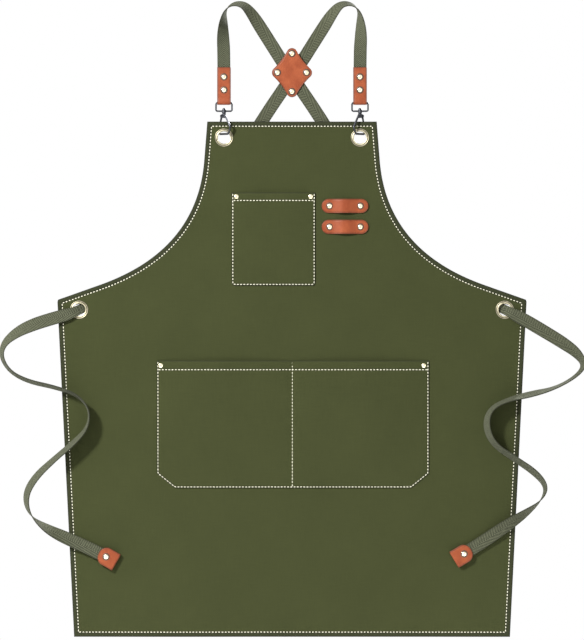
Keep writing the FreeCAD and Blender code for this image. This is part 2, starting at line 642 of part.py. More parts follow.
half_loop = rounded_run([(0, LOOP_BAR_Z), (LOOP_HALF, LOOP_BAR_Z), (LOOP_HALF, LOOP_BOTTOM_Z),
                         (0, LOOP_BOTTOM_Z)], LOOP_CORNER)
right_part = wire_along(half_loop, LOOP_WIRE)
wire_loop = right_part.fuse(mirrored(right_part))
boss_low = Vector(0, 0, LOOP_BOTTOM_Z - BOSS_HALF)
wire_loop = wire_loop.fuse(Part.makeCylinder(BOSS_RADIUS, 2 * BOSS_HALF, boss_low))
wire_loop = wire_loop.cut(Part.makeCylinder(STEM_RADIUS + STEM_CLEAR, 2 * BOSS_HALF + 2,
                                            boss_low - Z_AXIS))
wire_loop.translate(Vector(-STRAP_X, 0, 0))
pair("strap_loop", wire_loop.removeSplitter())


# ---------------------------------------------------------------- snap hooks
def turned_to_rest(shape):
    """From the hook's own plane, XZ about the stem, to its place on the left side."""
    turned = shape.rotated(Vector(0, 0, 0), Z_AXIS, HOOK_TURN)
    return turned.translated(Vector(-STRAP_X, 0, 0))


head_low = LOOP_BOTTOM_Z + BOSS_HALF + STEM_CLEAR
stem_low = LOOP_BOTTOM_Z - BOSS_HALF - STEM_CLEAR
stem = Part.makeCylinder(STEM_RADIUS, head_low - stem_low + 2, Vector(0, 0, stem_low - 1))
head = Part.makeSphere(HEAD_RADIUS, Vector(0, 0, head_low), Z_AXIS, 0, 90, 360)
shoulder = Part.makeCone(BOSS_RADIUS * 0.75, BOSS_RADIUS, 2.2, Vector(0, 0, stem_low - 2.2))
collar = Part.makeCylinder(BOSS_RADIUS, 1.4, Vector(0, 0, stem_low - 3.6))
shank = prism_y(lines([(-6.4, SHANK_TOP - 1.8), (-2.2, SHANK_TOP), (2.2, SHANK_TOP),
                       (6.2, SHANK_LOW), (-1.6, SHANK_LOW + 0.8), (-6.4, SHANK_LOW + 1.8)]),
                -CHEEK, CHEEK)
bow = rounded_run([(3.6, SHANK_TOP - 3.6), (12.9, HOOK_BOTTOM_Z + 10.6), (9.0, HOOK_BOTTOM_Z),
                   (-HOOK_REACH, HOOK_BOTTOM_Z), (-HOOK_REACH, TIP_Z)], HOOK_BEND)
bow_wire = wire_along(bow, HOOK_WIRE)
hook = stem.fuse([head, shoulder, collar, shank, bow_wire])
slot_half = GATE_THICK / 2 + GATE_CLEAR
slot_right = GATE_PIN_X + 1.9
slot = box(-8, slot_right, -slot_half, slot_half, SHANK_LOW - 1.6, SHANK_TOP - 0.2)
pin_bore = rod_y(GATE_PIN_X, GATE_PIN_Z, PIN_RADIUS + LAY, -THROUGH, THROUGH)
hook = hook.cut(slot).cut(pin_bore)

knee_z, gate_end = GATE_PIN_Z - 8.8, TIP_Z + GATE_TIP_GAP
gate = prism_y(lines([(GATE_PIN_X - 1.3, GATE_PIN_Z), (-8.1, knee_z),
                      (-HOOK_REACH - 1.1, gate_end), (-HOOK_REACH + 1.1, gate_end),
                      (-5.9, knee_z), (GATE_PIN_X + 1.3, GATE_PIN_Z)]),
               -GATE_THICK / 2, GATE_THICK / 2)
gate = gate.fuse(rod_y(GATE_PIN_X, GATE_PIN_Z, 1.5, -GATE_THICK / 2, GATE_THICK / 2))
running_bore = rod_y(GATE_PIN_X, GATE_PIN_Z, PIN_RADIUS + PIN_CLEAR, -THROUGH, THROUGH)
gate = gate.cut(running_bore)

spring_end = CHEEK + PIN_CLEAR + SPRING_LENGTH
spring = rod_y(GATE_PIN_X, GATE_PIN_Z, SPRING_RADIUS, CHEEK + PIN_CLEAR, spring_end)
spring = spring.cut(running_bore)
pin_long = rod_y(GATE_PIN_X, GATE_PIN_Z, PIN_RADIUS, -CHEEK - PIN_HEAD, spring_end + 0.3)
pair("snap_hook", turned_to_rest(hook.removeSplitter()))
pair("gate_pin", turned_to_rest(pin_long))
pair("gate_spring", turned_to_rest(spring))
pair("snap_gate", turned_to_rest(gate.removeSplitter()))


# ---------------------------------------------------------------- tabs on the tie ends
def end_tab(x, z, angle):
    """A D of leather folded round the end of the tie, with one rivet through it."""
    half_w = END_WIDTH / 2
    nose = END_LENGTH / 2
    shoulder = -nose + half_w * 0.8
    flat = lines([(shoulder, half_w), (nose, half_w), (nose, -half_w), (shoulder, -half_w)],
                 False)
    flat += [arc((shoulder, -half_w), (-nose, 0), (shoulder, half_w))]
    inner = WEB / 2 + LAY
    shape = prism_y(flat, -inner - LEATHER, inner + LEATHER)
    shape = shape.cut(box(-nose - 5, nose - LEATHER, -inner, inner, -half_w - 5, half_w + 5))
    shape = shape.cut(post_hole(-END_RIVET_BACK, 0))
    shape.rotate(Vector(0, 0, 0), Y_AXIS, -angle)
    shape.translate(Vector(x, END_Y, z))
    fastener = rivet(-END_RIVET_BACK, 0, -inner - LEATHER - LAY, inner + LEATHER + LAY)
    fastener.rotate(Vector(0, 0, 0), Y_AXIS, -angle)
    fastener.translate(Vector(x, END_Y, z))
    return shape, fastener


for side, (past, degrees) in (("left", END_LEFT), ("right", END_RIGHT)):
    end_x, _, end_z = tie_routes[side][-1][:3]
    angle = math.radians(degrees)
    x, z = end_x - past * math.cos(angle), end_z - past * math.sin(angle)
    leather, fastener = end_tab(x, z, degrees)
    nodes["tie_tab_" + side] = leather
    nodes["tie_tab_rivet_" + side] = fastener
    at = (x - END_RIVET_BACK * math.cos(angle), z - END_RIVET_BACK * math.sin(angle))
    nodes["waist_tie_" + side] = nodes["waist_tie_" + side].cut(post_hole(*at))

# ---------------------------------------------------------------- write the pieces
os.makedirs("parts", exist_ok=True)
for name, shape in nodes.items():
    if not shape.isValid():
        print("invalid", name)
    shape.exportStep("parts/" + name + ".step")
print(len(nodes), "nodes")
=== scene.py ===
"""A cross-back canvas apron with webbing straps, leather patches and plated hardware.

Metres, +Z up, front towards -Y, hung by its two strap loops at the origin.
"""
import math

import bpy
import numpy as np
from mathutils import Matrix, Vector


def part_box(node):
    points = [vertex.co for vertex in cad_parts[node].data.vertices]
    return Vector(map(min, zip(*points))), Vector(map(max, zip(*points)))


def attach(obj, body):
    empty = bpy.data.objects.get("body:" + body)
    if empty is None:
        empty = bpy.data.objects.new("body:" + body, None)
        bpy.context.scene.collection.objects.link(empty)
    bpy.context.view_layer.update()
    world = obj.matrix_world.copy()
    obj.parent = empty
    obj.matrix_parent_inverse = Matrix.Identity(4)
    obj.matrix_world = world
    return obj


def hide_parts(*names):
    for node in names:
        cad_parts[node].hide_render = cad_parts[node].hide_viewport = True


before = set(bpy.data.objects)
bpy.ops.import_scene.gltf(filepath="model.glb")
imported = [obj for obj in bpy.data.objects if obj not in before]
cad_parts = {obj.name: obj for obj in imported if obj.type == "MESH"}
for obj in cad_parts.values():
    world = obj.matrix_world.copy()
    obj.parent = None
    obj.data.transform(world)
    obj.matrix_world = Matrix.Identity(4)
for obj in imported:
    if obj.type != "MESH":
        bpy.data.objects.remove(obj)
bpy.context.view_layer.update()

MM = 0.001

# ---------------------------------------------------------------------------
# Camera, floor and lights.  A long lens looks level at the front of the hung apron.
# A pale floor lies below it, and soft light falls from the upper left with white all round.
VIEW_HEIGHT = 0.9928
VIEW_CENTRE_Z = -0.4851
VIEW_DISTANCE = 5.5
SENSOR = 36.0
FLOOR_Z = -1.09

camera_data = bpy.data.cameras.new("front_camera")
camera_data.sensor_fit = "VERTICAL"
camera_data.sensor_height = SENSOR
camera_data.lens = SENSOR * VIEW_DISTANCE / VIEW_HEIGHT
camera = bpy.data.objects.new("front_camera", camera_data)
camera.location = (0.0, -VIEW_DISTANCE, VIEW_CENTRE_Z)
camera.rotation_euler = (math.pi / 2, 0.0, 0.0)
bpy.context.collection.objects.link(camera)
bpy.context.scene.camera = camera
bpy.context.scene.view_settings.view_transform = "Standard"

world = bpy.data.worlds.new("white_room")
world.use_nodes = True
world.node_tree.nodes["Background"].inputs["Color"].default_value = (1.0, 1.0, 1.0, 1.0)
world.node_tree.nodes["Background"].inputs["Strength"].default_value = 1.0
bpy.context.scene.world = world


def softbox(name, place, aim, size, power):
    """A square area light at place, turned so that it shines at aim."""
    lamp = bpy.data.lights.new(name, "AREA")
    lamp.size = size
    lamp.energy = power
    holder = bpy.data.objects.new(name, lamp)
    direction = np.subtract(aim, place)
    flat = math.hypot(direction[0], direction[1])
    holder.rotation_euler = (math.atan2(flat, -direction[2]), 0.0,
                             math.atan2(direction[1], direction[0]) - math.pi / 2)
    holder.location = place
    bpy.context.collection.objects.link(holder)


MIDDLE = (0.0, 0.0, -0.5)
softbox("key_light", (-2.2, -2.2, 1.3), MIDDLE, 0.45, 380.0)
softbox("fill_light", (2.4, -2.6, -0.4), MIDDLE, 1.6, 12.0)
softbox("back_light", (2.0, 2.4, 1.2), MIDDLE, 0.8, 380.0)


def new_material(name, colour, roughness, metallic=0.0):
    """A Principled material; returns it with its node tree and its shader node."""
    made = bpy.data.materials.new(name)
    made.use_nodes = True
    shader = made.node_tree.nodes["Principled BSDF"]
    shader.inputs["Base Color"].default_value = (*colour, 1.0)
    shader.inputs["Roughness"].default_value = roughness
    shader.inputs["Metallic"].default_value = metallic
    made.diffuse_color = (*colour, 1.0)
    return made, made.node_tree, shader


def add_node(tree, kind, links=(), **values):
    """A shader node with its settings; links are (input, source socket) pairs."""
    node = tree.nodes.new(kind)
    for key, value in values.items():
        if key[0].isupper() or key.isdigit():
            socket = node.inputs[int(key)] if key.isdigit() else node.inputs[key.replace("_", " ")]
            socket.default_value = value
        else:
            setattr(node, key, value)
    for target, source in links:
        tree.links.new(node.inputs[target], source)
    return node


def ramp_between(tree, source, low, high, start=0.0, end=1.0):
    """A colour that runs from low to high as source goes from start to end."""
    ramp = add_node(tree, "ShaderNodeValToRGB", [("Fac", source)])
    ramp.color_ramp.elements[0].position = start
    ramp.color_ramp.elements[1].position = end
    ramp.color_ramp.elements[0].color = (*low, 1.0)
    ramp.color_ramp.elements[1].color = (*high, 1.0)
    return ramp.outputs["Color"]


floor_material, floor_tree, floor_shader = new_material("pale_floor", (0.86, 0.86, 0.85), 0.6)
floor_noise = add_node(floor_tree, "ShaderNodeTexNoise", Scale=9.0, Detail=4.0)
floor_tree.links.new(floor_shader.inputs["Base Color"],
                     ramp_between(floor_tree, floor_noise.outputs["Fac"],
                                  (0.84, 0.84, 0.83), (0.88, 0.88, 0.87)))
floor_mesh = bpy.data.meshes.new("floor")
floor_mesh.from_pydata([(-1.0, -0.9, FLOOR_Z), (1.0, -0.9, FLOOR_Z), (1.0, 0.9, FLOOR_Z),
                        (-1.0, 0.9, FLOOR_Z)], [], [(0, 1, 2, 3)])
floor = bpy.data.objects.new("floor", floor_mesh)
floor_mesh.materials.append(floor_material)
bpy.context.collection.objects.link(floor)

# ---------------------------------------------------------------------------
# Waist ties: flat twill webbing that comes forward through each waist eyelet, turns on
# its edge and snakes down beside the apron to a leather tab.
WEB_WIDTH = 20 * MM
WEB_THICK = 1.6 * MM
ROUTE_STEPS = 14


def make_piece(name, points, faces, material, node=None, uv=None, edge=None):
    """A mesh object at the origin that rides on the apron and stands for a CAD node.

    uv holds one pair for each point, and edge is how darkened each point is: wear and
    burnish, and painted shade in creases, seams, hems and pocket rims.
    """
    mesh = bpy.data.meshes.new(name)
    mesh.from_pydata(np.asarray(points, dtype=float).tolist(), [],
                     [tuple(int(i) for i in face) for face in faces])
    mesh.polygons.foreach_set("use_smooth", np.full(len(mesh.polygons), True))
    if uv is not None:
        layer = mesh.uv_layers.new(name="cloth_uv")
        corner = np.empty(len(mesh.loops), dtype=np.int32)
        mesh.loops.foreach_get("vertex_index", corner)
        layer.data.foreach_set("uv", np.asarray(uv, dtype=float)[corner].ravel())
    if edge is not None:
        worn_and_shaded = mesh.attributes.new("edge", "FLOAT", "POINT")
        worn_and_shaded.data.foreach_set("value", np.asarray(edge, dtype=float).ravel())
    mesh.materials.append(material)
    piece = bpy.data.objects.new(name, mesh)
    bpy.context.collection.objects.link(piece)
    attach(piece, "apron")
    if node is not None:
        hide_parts(node)
    return piece


def spline_samples(rows):
    """Points read from one open NURBS spline with the rows as its control points."""
    curve = bpy.data.curves.new("route", "CURVE")
    curve.dimensions = "3D"
    curve.resolution_u = ROUTE_STEPS
    spline = curve.splines.new("NURBS")
    spline.points.add(len(rows) - 1)
    for point, row in zip(spline.points, rows):
        point.co = (*row, 1.0)
    spline.order_u = 3
    spline.use_endpoint_u = True
    holder = bpy.data.objects.new("route", curve)
    mesh = bpy.data.meshes.new_from_object(holder)
    found = np.empty(len(mesh.vertices) * 3)
    mesh.vertices.foreach_get("co", found)
    bpy.data.meshes.remove(mesh)
    bpy.data.objects.remove(holder)
    bpy.data.curves.remove(curve)
    return found.reshape(-1, 3)


def unit(vectors):
    """Each row divided by its length."""
    return vectors / np.linalg.norm(vectors, axis=-1, keepdims=True)


def quads_between(count, around, closed=False):
    """Quads that join each ring of points to the next, and the last to the first if closed."""
    here = np.arange(count if closed else count - 1)[:, None] * around
    beyond = (here + around) % (count * around)
    this = np.arange(around)
    after = (this + 1) % around
    return np.stack([here + this, beyond + this, beyond + after, here + after],
                    axis=-1).reshape(-1, 4)


def flat_section(width, thick, insets, creases):
    """Round the edge of a flat strip: across and through places, and wear and painted shade at
    each.

    insets are distances from the strip's side; the two long faces share them, and a face
    sinks by the crease at each.  The sides are half rounds of the strip's thickness.
    """
    across = np.maximum(width / 2 - np.asarray(insets), 0.0)
    depth = thick / 2 - np.asarray(creases)
    top_across = np.concatenate([-across, across[::-1]])
    top_depth = np.concatenate([depth, depth[::-1]])
    section_across = np.concatenate([top_across, [width / 2], top_across[::-1], [-width / 2]])
    section_depth = np.concatenate([top_depth, [0.0], -top_depth[::-1], [0.0]])
    # Wear darkens the sides; painted shade darkens each crease, more the deeper it is.
    near = np.exp(-np.asarray(insets) / (1.1 * MM))
    near = np.clip(np.maximum(near, np.asarray(creases) / (0.5 * MM)), 0.0, 1.0)
    wear_and_shade = np.concatenate([near, near[::-1], [1.0], near, near[::-1], [1.0]])
    return section_across, section_depth, wear_and_shade


def strip_along(path, across, widths, full_width, thick, insets, creases):
    """A flat strip carried along a path: section points across and through it.

    Each section is the full one, narrowed to that station's width.  Returns points,
    faces, a UV in metres (across, along) and the wear and painted shade of each point.
    """
    section_across, section_depth, wear_and_shade = flat_section(full_width, thick, insets, creases)
    along = unit(np.gradient(path, axis=0))
    across = unit(across - along * np.sum(across * along, axis=1, keepdims=True))
    out = np.cross(along, across)
    narrow = np.asarray(widths) / full_width
    points = (path[:, None, :] + across[:, None, :] * (section_across * narrow[:, None])[..., None]
              + out[:, None, :] * section_depth[None, :, None])
    stations, ring = points.shape[:2]
    faces = quads_between(stations, ring)[:, [0, 3, 2, 1]].tolist()
    faces.append(list(range(ring))[::-1])
    faces.append(list(range((stations - 1) * ring, stations * ring)))
    steps = np.linalg.norm(np.diff(path, axis=0), axis=1)
    distance = np.concatenate([[0.0], np.cumsum(steps)])
    uv = np.stack([np.broadcast_to(section_across, (stations, ring)) * narrow[:, None],
                   np.broadcast_to(distance[:, None], (stations, ring))], axis=-1)
    return points.reshape(-1, 3), faces, uv.reshape(-1, 2), np.tile(wear_and_shade, stations)


def webbing_on(route, start=(0.0, 0.0, 0.0)):
    """Webbing that follows a route of (x, y, z, twist, share of its width) rows from start.

    Its centre line is the route's spline.  Twist turns it about that line, from lying in
    the plane of the apron to standing on edge.
    """
    rows = np.asarray(route, dtype=float)
    path = spline_samples(rows[:, :3]) + np.asarray(start)
    turns = spline_samples(np.stack([rows[:, 3], rows[:, 4], rows[:, 4] * 0], axis=1))
    along = unit(np.gradient(path, axis=0))
    level = unit(np.cross(np.array([0.0, 1.0, 0.0]), along))
    out = np.cross(along, level)
    angle = np.radians(turns[:, :1])
    across = level * np.cos(angle) + out * np.sin(angle)
    insets = np.array([0.0, 0.25, 0.6, 1.2, 2.2, 4.0, 6.5, 9.0]) * MM
    creases = np.array([0.55, 0.2, 0.04, 0.0, 0.0, 0.02, 0.04, 0.05]) * MM
    return path, strip_along(path, across, turns[:, 1] * WEB_WIDTH, WEB_WIDTH, WEB_THICK, insets,
                             creases)


def math_of(tree, operation, *terms):
    """One Math node; each term is a socket or a number."""
    node = tree.nodes.new("ShaderNodeMath")
    node.operation = operation
    for slot_number, term in enumerate(terms):
        if isinstance(term, (int, float)):
            node.inputs[slot_number].default_value = term
        else:
            tree.links.new(node.inputs[slot_number], term)
    return node.outputs[0]


def bump_into(tree, shader, height, distance, strength=1.0):
    """Bump from a height socket, into the shader's normal."""
    bump = add_node(tree, "ShaderNodeBump", [("Height", height)], Distance=distance,
                    Strength=strength)
    tree.links.new(shader.inputs["Normal"], bump.outputs["Normal"])


def mixed_by(tree, share, colour, other):
    """A colour socket mixed towards another colour by a share."""
    mix = add_node(tree, "ShaderNodeMix", data_type="RGBA")
    tree.links.new(mix.inputs[0], share)
    tree.links.new(mix.inputs[6], colour)
    mix.inputs[7].default_value = (*other, 1.0)
    return mix.outputs[2]


def noise_on(tree, where, scale, detail, stretch=None, **values):
    """The value of a noise pattern at a socket of coordinates, stretched along the axes."""
    if stretch is not None:
        where = add_node(tree, "ShaderNodeMapping", [("Vector", where)],
                         Scale=stretch).outputs["Vector"]
    return add_node(tree, "ShaderNodeTexNoise", [("Vector", where)], Scale=scale, Detail=detail,
                    **values).outputs["Fac"]


def wear_and_shade_of(tree):
    """How worn the surface is and how far painted shade darkens it, from the piece's own attribute.
    """
    return add_node(tree, "ShaderNodeAttribute", attribute_name="edge").outputs["Fac"]


TWILL_RIB = 3.3 * MM
TWILL_WALE = 1.25 * MM


def twill_material(name, dark, light, selvedge_and_shade):
    """Twill webbing: slanting ribs that meet in a herringbone, a darker selvedge, and the same dark
    colour as painted shade in its creases.
    """
    made, tree, shader = new_material(name, light, 0.86)
    uv = add_node(tree, "ShaderNodeUVMap", uv_map="cloth_uv").outputs["UV"]
    parts = add_node(tree, "ShaderNodeSeparateXYZ", [("Vector", uv)])
    slant = math_of(tree, "ADD", math_of(tree, "ABSOLUTE", parts.outputs["X"]),
                    parts.outputs["Y"])
    ribs, wales = (math_of(tree, "SINE", math_of(tree, "MULTIPLY", place, 2 * math.pi / pitch))
                   for place, pitch in ((slant, TWILL_RIB), (parts.outputs["X"], TWILL_WALE)))
    height = math_of(tree, "MULTIPLY_ADD", ribs, 0.5,
                     math_of(tree, "MULTIPLY_ADD", wales, 0.08, 0.5))
    yarn = noise_on(tree, uv, 1.0, 3.0, stretch=(700.0, 160.0, 1.0))
    tone = math_of(tree, "MULTIPLY_ADD", height, 0.6, math_of(tree, "MULTIPLY", yarn, 0.4))
    shade = math_of(tree, "MULTIPLY", wear_and_shade_of(tree), 0.9)
    tree.links.new(shader.inputs["Base Color"],
                   mixed_by(tree, shade, ramp_between(tree, tone, dark, light, 0.2, 0.8), selvedge_and_shade))
    shader.inputs["Specular IOR Level"].default_value = 0.07
    shader.inputs["Sheen Weight"].default_value = 0.02
    shader.inputs["Sheen Roughness"].default_value = 0.6
    bump_into(tree, shader, height, 0.4 * MM)
    return made


webbing = twill_material("webbing_twill", (0.009, 0.010, 0.0055), (0.077, 0.082, 0.051),
                         (0.013, 0.014, 0.0085))


def middle_of(node):
    """The middle (x, z) of a CAD node."""
    low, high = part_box(node)
    return (low[0] + high[0]) / 2, (low[2] + high[2]) / 2


# Routes start from the middle of their waist eyelet.
TIE_LEFT = [
    (0.0, 0.0, 0.0, 0, 0.751), (-0.0084, -0.0042, -0.004, 0, 0.751),
    (-0.0186, -0.0046, -0.0076, 0, 0.97), (-0.0418, -0.005, -0.0138, 5, 1),
    (-0.0718, -0.0065, -0.0233, 14, 1), (-0.0968, -0.0095, -0.0353, 38, 1),
    (-0.1163, -0.012, -0.0523, 60, 1), (-0.1208, -0.0126, -0.0723, 70, 1),
    (-0.1068, -0.0126, -0.0963, 75, 1), (-0.0778, -0.0126, -0.1113, 71, 1),
    (-0.0398, -0.0126, -0.1193, 72, 1), (-0.0038, -0.0126, -0.1308, 76, 1),
    (0.0167, -0.0126, -0.1528, 84, 1), (0.0147, -0.0126, -0.1818, 78, 1),
    (-0.0068, -0.0126, -0.2053, 66, 1), (-0.0378, -0.0126, -0.2313, 66, 1),
    (-0.0678, -0.0126, -0.2593, 56, 1), (-0.0833, -0.0126, -0.2878, 58, 1),
    (-0.0768, -0.0126, -0.3178, 76, 1), (-0.0498, -0.0115, -0.3393, 128, 1),
    (-0.0128, -0.008, -0.3568, 172, 1), (0.0182, -0.0048, -0.3708, 180, 1),
    (0.0472, -0.0048, -0.3856, 180, 1)]
TIE_RIGHT = [
    (0.0, 0.0, 0.0, 0, 0.751), (0.0084, -0.0042, -0.004, 0, 0.751),
    (0.0178, -0.0046, -0.0092, 0, 0.97), (0.0358, -0.005, -0.0188, 5, 1),
    (0.0618, -0.0065, -0.0343, 12, 1), (0.0888, -0.0095, -0.0508, 20, 1),
    (0.1118, -0.012, -0.0673, 44, 1), (0.1233, -0.0126, -0.0858, 74, 1),
    (0.1098, -0.0126, -0.1033, 82, 1), (0.0778, -0.0126, -0.1213, 82, 1),
    (0.0398, -0.0126, -0.1308, 62, 1), (0.0028, -0.0126, -0.1393, 76, 1),
    (-0.0237, -0.0126, -0.1533, 74, 1), (-0.0307, -0.0126, -0.1788, 62, 1),
    (-0.0192, -0.0126, -0.2083, 66, 1), (0.0148, -0.0126, -0.2308, 64, 1),
    (0.0468, -0.0126, -0.2523, 60, 1), (0.0643, -0.0126, -0.2738, 74, 1),
    (0.0568, -0.0126, -0.2948, 92, 1), (0.0318, -0.012, -0.3148, 128, 1),
    (-0.0022, -0.009, -0.3373, 166, 1), (-0.0362, -0.0048, -0.3613, 180, 1),
    (-0.0697, -0.0048, -0.382, 180, 1)]

ties = {}
for side, route in (("left", TIE_LEFT), ("right", TIE_RIGHT)):
    eyelet_x, eyelet_z = middle_of("waist_eyelet_" + side)
    path, (points, faces, uv, wear_and_shade) = webbing_on(route, (eyelet_x, 0.0, eyelet_z))
    tie = make_piece("tie_webbing_" + side, points, faces, webbing,
                     "waist_tie_" + side, uv, wear_and_shade)
    ties[side] = (tie, path)

# ---------------------------------------------------------------------------
# Leather tab folded over the end of each tie, with one rivet.  It is cut as a D: round
# where the webbing goes in, and folded straight across at its outer end.
LEATHER = 1.8 * MM
LEATHER_INSETS = np.array([0.0, 0.15, 0.4, 0.8, 1.5, 1.85, 2.2, 3.2, 5.5, 8.5]) * MM
# Creases sink a face, and each is darkened as painted shade, more the deeper it is.
LEATHER_CREASES = np.array([0.55, 0.3, 0.1, 0.02, 0.0, 0.30, 0.0, -0.03, -0.05, -0.06]) * MM
# Pieces that are pressed together keep a hair's breadth between them.
HAIR = 0.05 * MM
PLY = WEB_THICK / 2 + HAIR + LEATHER / 2


def leather_material():
    """Tan leather: mottled, finely grained, burnished dark along its cut edges, and darkened in its
    creases as painted shade.
    """
    made, tree, shader = new_material("tan_leather", (0.16, 0.036, 0.010), 0.5)
    where = add_node(tree, "ShaderNodeTexCoord").outputs["Object"]
    cloud = noise_on(tree, where, 70.0, 6.0, Roughness=0.6)
    hide = ramp_between(tree, cloud, (0.125, 0.024, 0.0065), (0.178, 0.040, 0.0115), 0.3, 0.72)
    burnish_and_shade = math_of(tree, "MULTIPLY", wear_and_shade_of(tree), 0.85)
    tree.links.new(shader.inputs["Base Color"],
                   mixed_by(tree, burnish_and_shade, hide, (0.020, 0.005, 0.002)))
    shader.inputs["Specular IOR Level"].default_value = 0.2
    pores = add_node(tree, "ShaderNodeTexVoronoi", [("Vector", where)], Scale=950.0)
    grain = math_of(tree, "MULTIPLY_ADD", pores.outputs["Distance"], 0.5,
                    noise_on(tree, where, 420.0, 5.0))
    bump_into(tree, shader, grain, 0.16 * MM, 0.7)
    gloss = math_of(tree, "MULTIPLY_ADD", cloud, 0.25, 0.36)
    tree.links.new(shader.inputs["Roughness"], gloss)
    return made


leather = leather_material()


def leather_strip(name, node, path, across, widths, full_width, end_wear):
    """A strip of leather along a path, burnished at its sides and at its ends as told, with painted
    shade in its creases.
    """
    points, faces, uv, wear_and_shade = strip_along(path, np.tile(across, (len(path), 1)), widths,
                                          full_width, LEATHER, LEATHER_INSETS,
                                          LEATHER_CREASES)
    wear_and_shade = np.maximum(wear_and_shade, np.repeat(end_wear, len(wear_and_shade) // len(path)))
    return make_piece(name, points, faces, leather, node, uv, wear_and_shade)


def metal_material(name, colour, shade, roughness):
    """Plated metal, a little darker and duller in patches, and tarnished in its grooves."""
    made, tree, shader = new_material(name, colour, roughness, 1.0)
    where = add_node(tree, "ShaderNodeTexCoord").outputs["Object"]
    patches = noise_on(tree, where, 180.0, 4.0)
    plating = ramp_between(tree, patches, shade, colour, 0.3, 0.6)
    tree.links.new(shader.inputs["Base Color"],
                   mixed_by(tree, wear_and_shade_of(tree), plating, (0.02, 0.018, 0.014)))
    dull = math_of(tree, "MULTIPLY_ADD", patches, 0.18, roughness - 0.09)
    tree.links.new(shader.inputs["Roughness"], dull)
    bump_into(tree, shader, noise_on(tree, where, 2400.0, 2.0), 0.02 * MM, 0.5)
    return made


rivet_brass = metal_material("rivet_brass", (0.95, 0.88, 0.66), (0.80, 0.70, 0.46), 0.24)


def joined_rings(rings, poles=None):
    """Points and faces of rings of points, each joined to the next.

    The last ring joins the first, or the first and the last are closed by two poles.
    """
    count, around = rings.shape[:2]
    points = rings.reshape(-1, 3)
    if poles is None:
        return points, quads_between(count, around, closed=True).tolist()
    faces = quads_between(count, around).tolist()
    last, pole = (count - 1) * around, count * around
    this = np.arange(around)
    pairs = list(zip(this, np.roll(this, -1)))
    faces += [(pole, a, b) for a, b in pairs]
    faces += [(pole + 1, last + b, last + a) for a, b in pairs]
    return np.concatenate([points, poles]), faces


def lathe(profile, x, z, segments):
    """A (radius, y) profile turned about a line along Y through (x, z).

    A profile that starts on the line is closed at both ends by single points, and any
    other one is closed on itself.
    """
    profile = np.asarray(profile, dtype=float)
    radius, y = profile[:, :1], profile[:, 1:]
    turn = np.arange(segments) * 2 * math.pi / segments
    rings = np.stack([x + radius * np.cos(turn), y + 0 * turn, z + radius * np.sin(turn)], axis=-1)
    if radius[0, 0] > 0.0:
        return joined_rings(rings)
    return joined_rings(rings[1:-1], rings[[0, -1], 0])


def joined(parts):
    """Several (points, faces) pairs as one."""
    points, faces = [], []
    for part_points, part_faces in parts:
        start = len(points)
        points.extend(np.asarray(part_points).tolist())
        faces.extend(tuple(i + start for i in face) for face in part_faces)
    return points, faces


RIVET_SIDES = 32
RIVET_CAP = 3.8 * MM
RIVET_SEAT = 4.2 * MM
RIVET_DOME = 1.4 * MM
RIVET_HEEL = 0.7 * MM
RIVET_POST = 1.5 * MM
RIVET_RIM = 0.3 * MM


def rivet_shape(x, z, y_front, y_back):
    """A tubular rivet: a domed cap with a rolled rim, its post, and a flatter back cap."""
    quarter = np.linspace(0.0, math.pi / 2, 9)
    dome = np.stack([RIVET_CAP * 0.93 * np.sin(quarter),
                     y_front - RIVET_RIM - RIVET_DOME * np.cos(quarter)], axis=1)
    rim = [(RIVET_CAP, y_front - 0.22 * MM), (RIVET_CAP * 0.985, y_front),
           (RIVET_POST, y_front), (RIVET_POST, y_back), (RIVET_CAP * 0.985, y_back),
           (RIVET_CAP, y_back + 0.2 * MM)]
    heel = np.stack([RIVET_CAP * 0.95 * np.cos(quarter),
                     y_back + RIVET_RIM + RIVET_HEEL * np.sin(quarter)], axis=1)
    return lathe(np.concatenate([dome, rim, heel]), x, z, RIVET_SIDES)


def speckled_material(name, colour, roughness, dark, light, full, scale, detail, strength):
    """A dull material, mottled from dark to light and roughened by one fine noise."""
    made, tree, shader = new_material(name, colour, roughness)
    where = add_node(tree, "ShaderNodeTexCoord").outputs["Object"]
    speckle = noise_on(tree, where, scale, detail)
    tree.links.new(shader.inputs["Base Color"], ramp_between(tree, speckle, dark, light, 0.3, full))
    bump_into(tree, shader, speckle, 0.1 * MM, strength)
    return made


pressed_leather = speckled_material("pressed_leather", (0.030, 0.011, 0.003), 0.45,
                                    (0.014, 0.005, 0.0015), (0.045, 0.015, 0.005), 0.7,
                                    600.0, 3.0, 1.0)
# The pressed ring's (radius, height above the leather).
PRESSED_RING = np.array([(2.0, 0.1), (3.9, 0.16), (5.1, 0.16), (5.7, 0.0), (5.7, -0.3),
                         (2.0, -0.3)]) * MM


def rivets(node, places, pressed=(-1, 1)):
    """All the rivets of one CAD node, as one piece; places are (x, z, y_front, y_back).

    In leather each cap sits in a dark ring that the setting tool has pressed; pressed says
    which faces are leather, -1 for the front and 1 for the back.
    """
    points, faces = joined([rivet_shape(*place) for place in places])
    piece = make_piece(node + "_caps", points, faces, rivet_brass, node)
    rings = [lathe((PRESSED_RING * (1, out) + (0.0, y_front if out < 0 else y_back))[::-out],
                   x, z, RIVET_SIDES)
             for x, z, y_front, y_back in places for out in pressed]
    if rings:
        points, faces = joined(rings)
        make_piece(node + "_rings", points, faces, pressed_leather)
    return piece


END_LENGTH = 31 * MM
END_WIDTH = 28.5 * MM
END_ROUND = END_WIDTH * 0.42
END_RIVET_BACK = 2.8 * MM
END_TABS = {"left": (-285.6 * MM, -853.3 * MM, math.radians(-30.0)),
            "right": (264.3 * MM, -848.9 * MM, math.radians(-149.0))}
END_Y = -4.8 * MM
TAB_FACE = PLY + LEATHER / 2 + HAIR

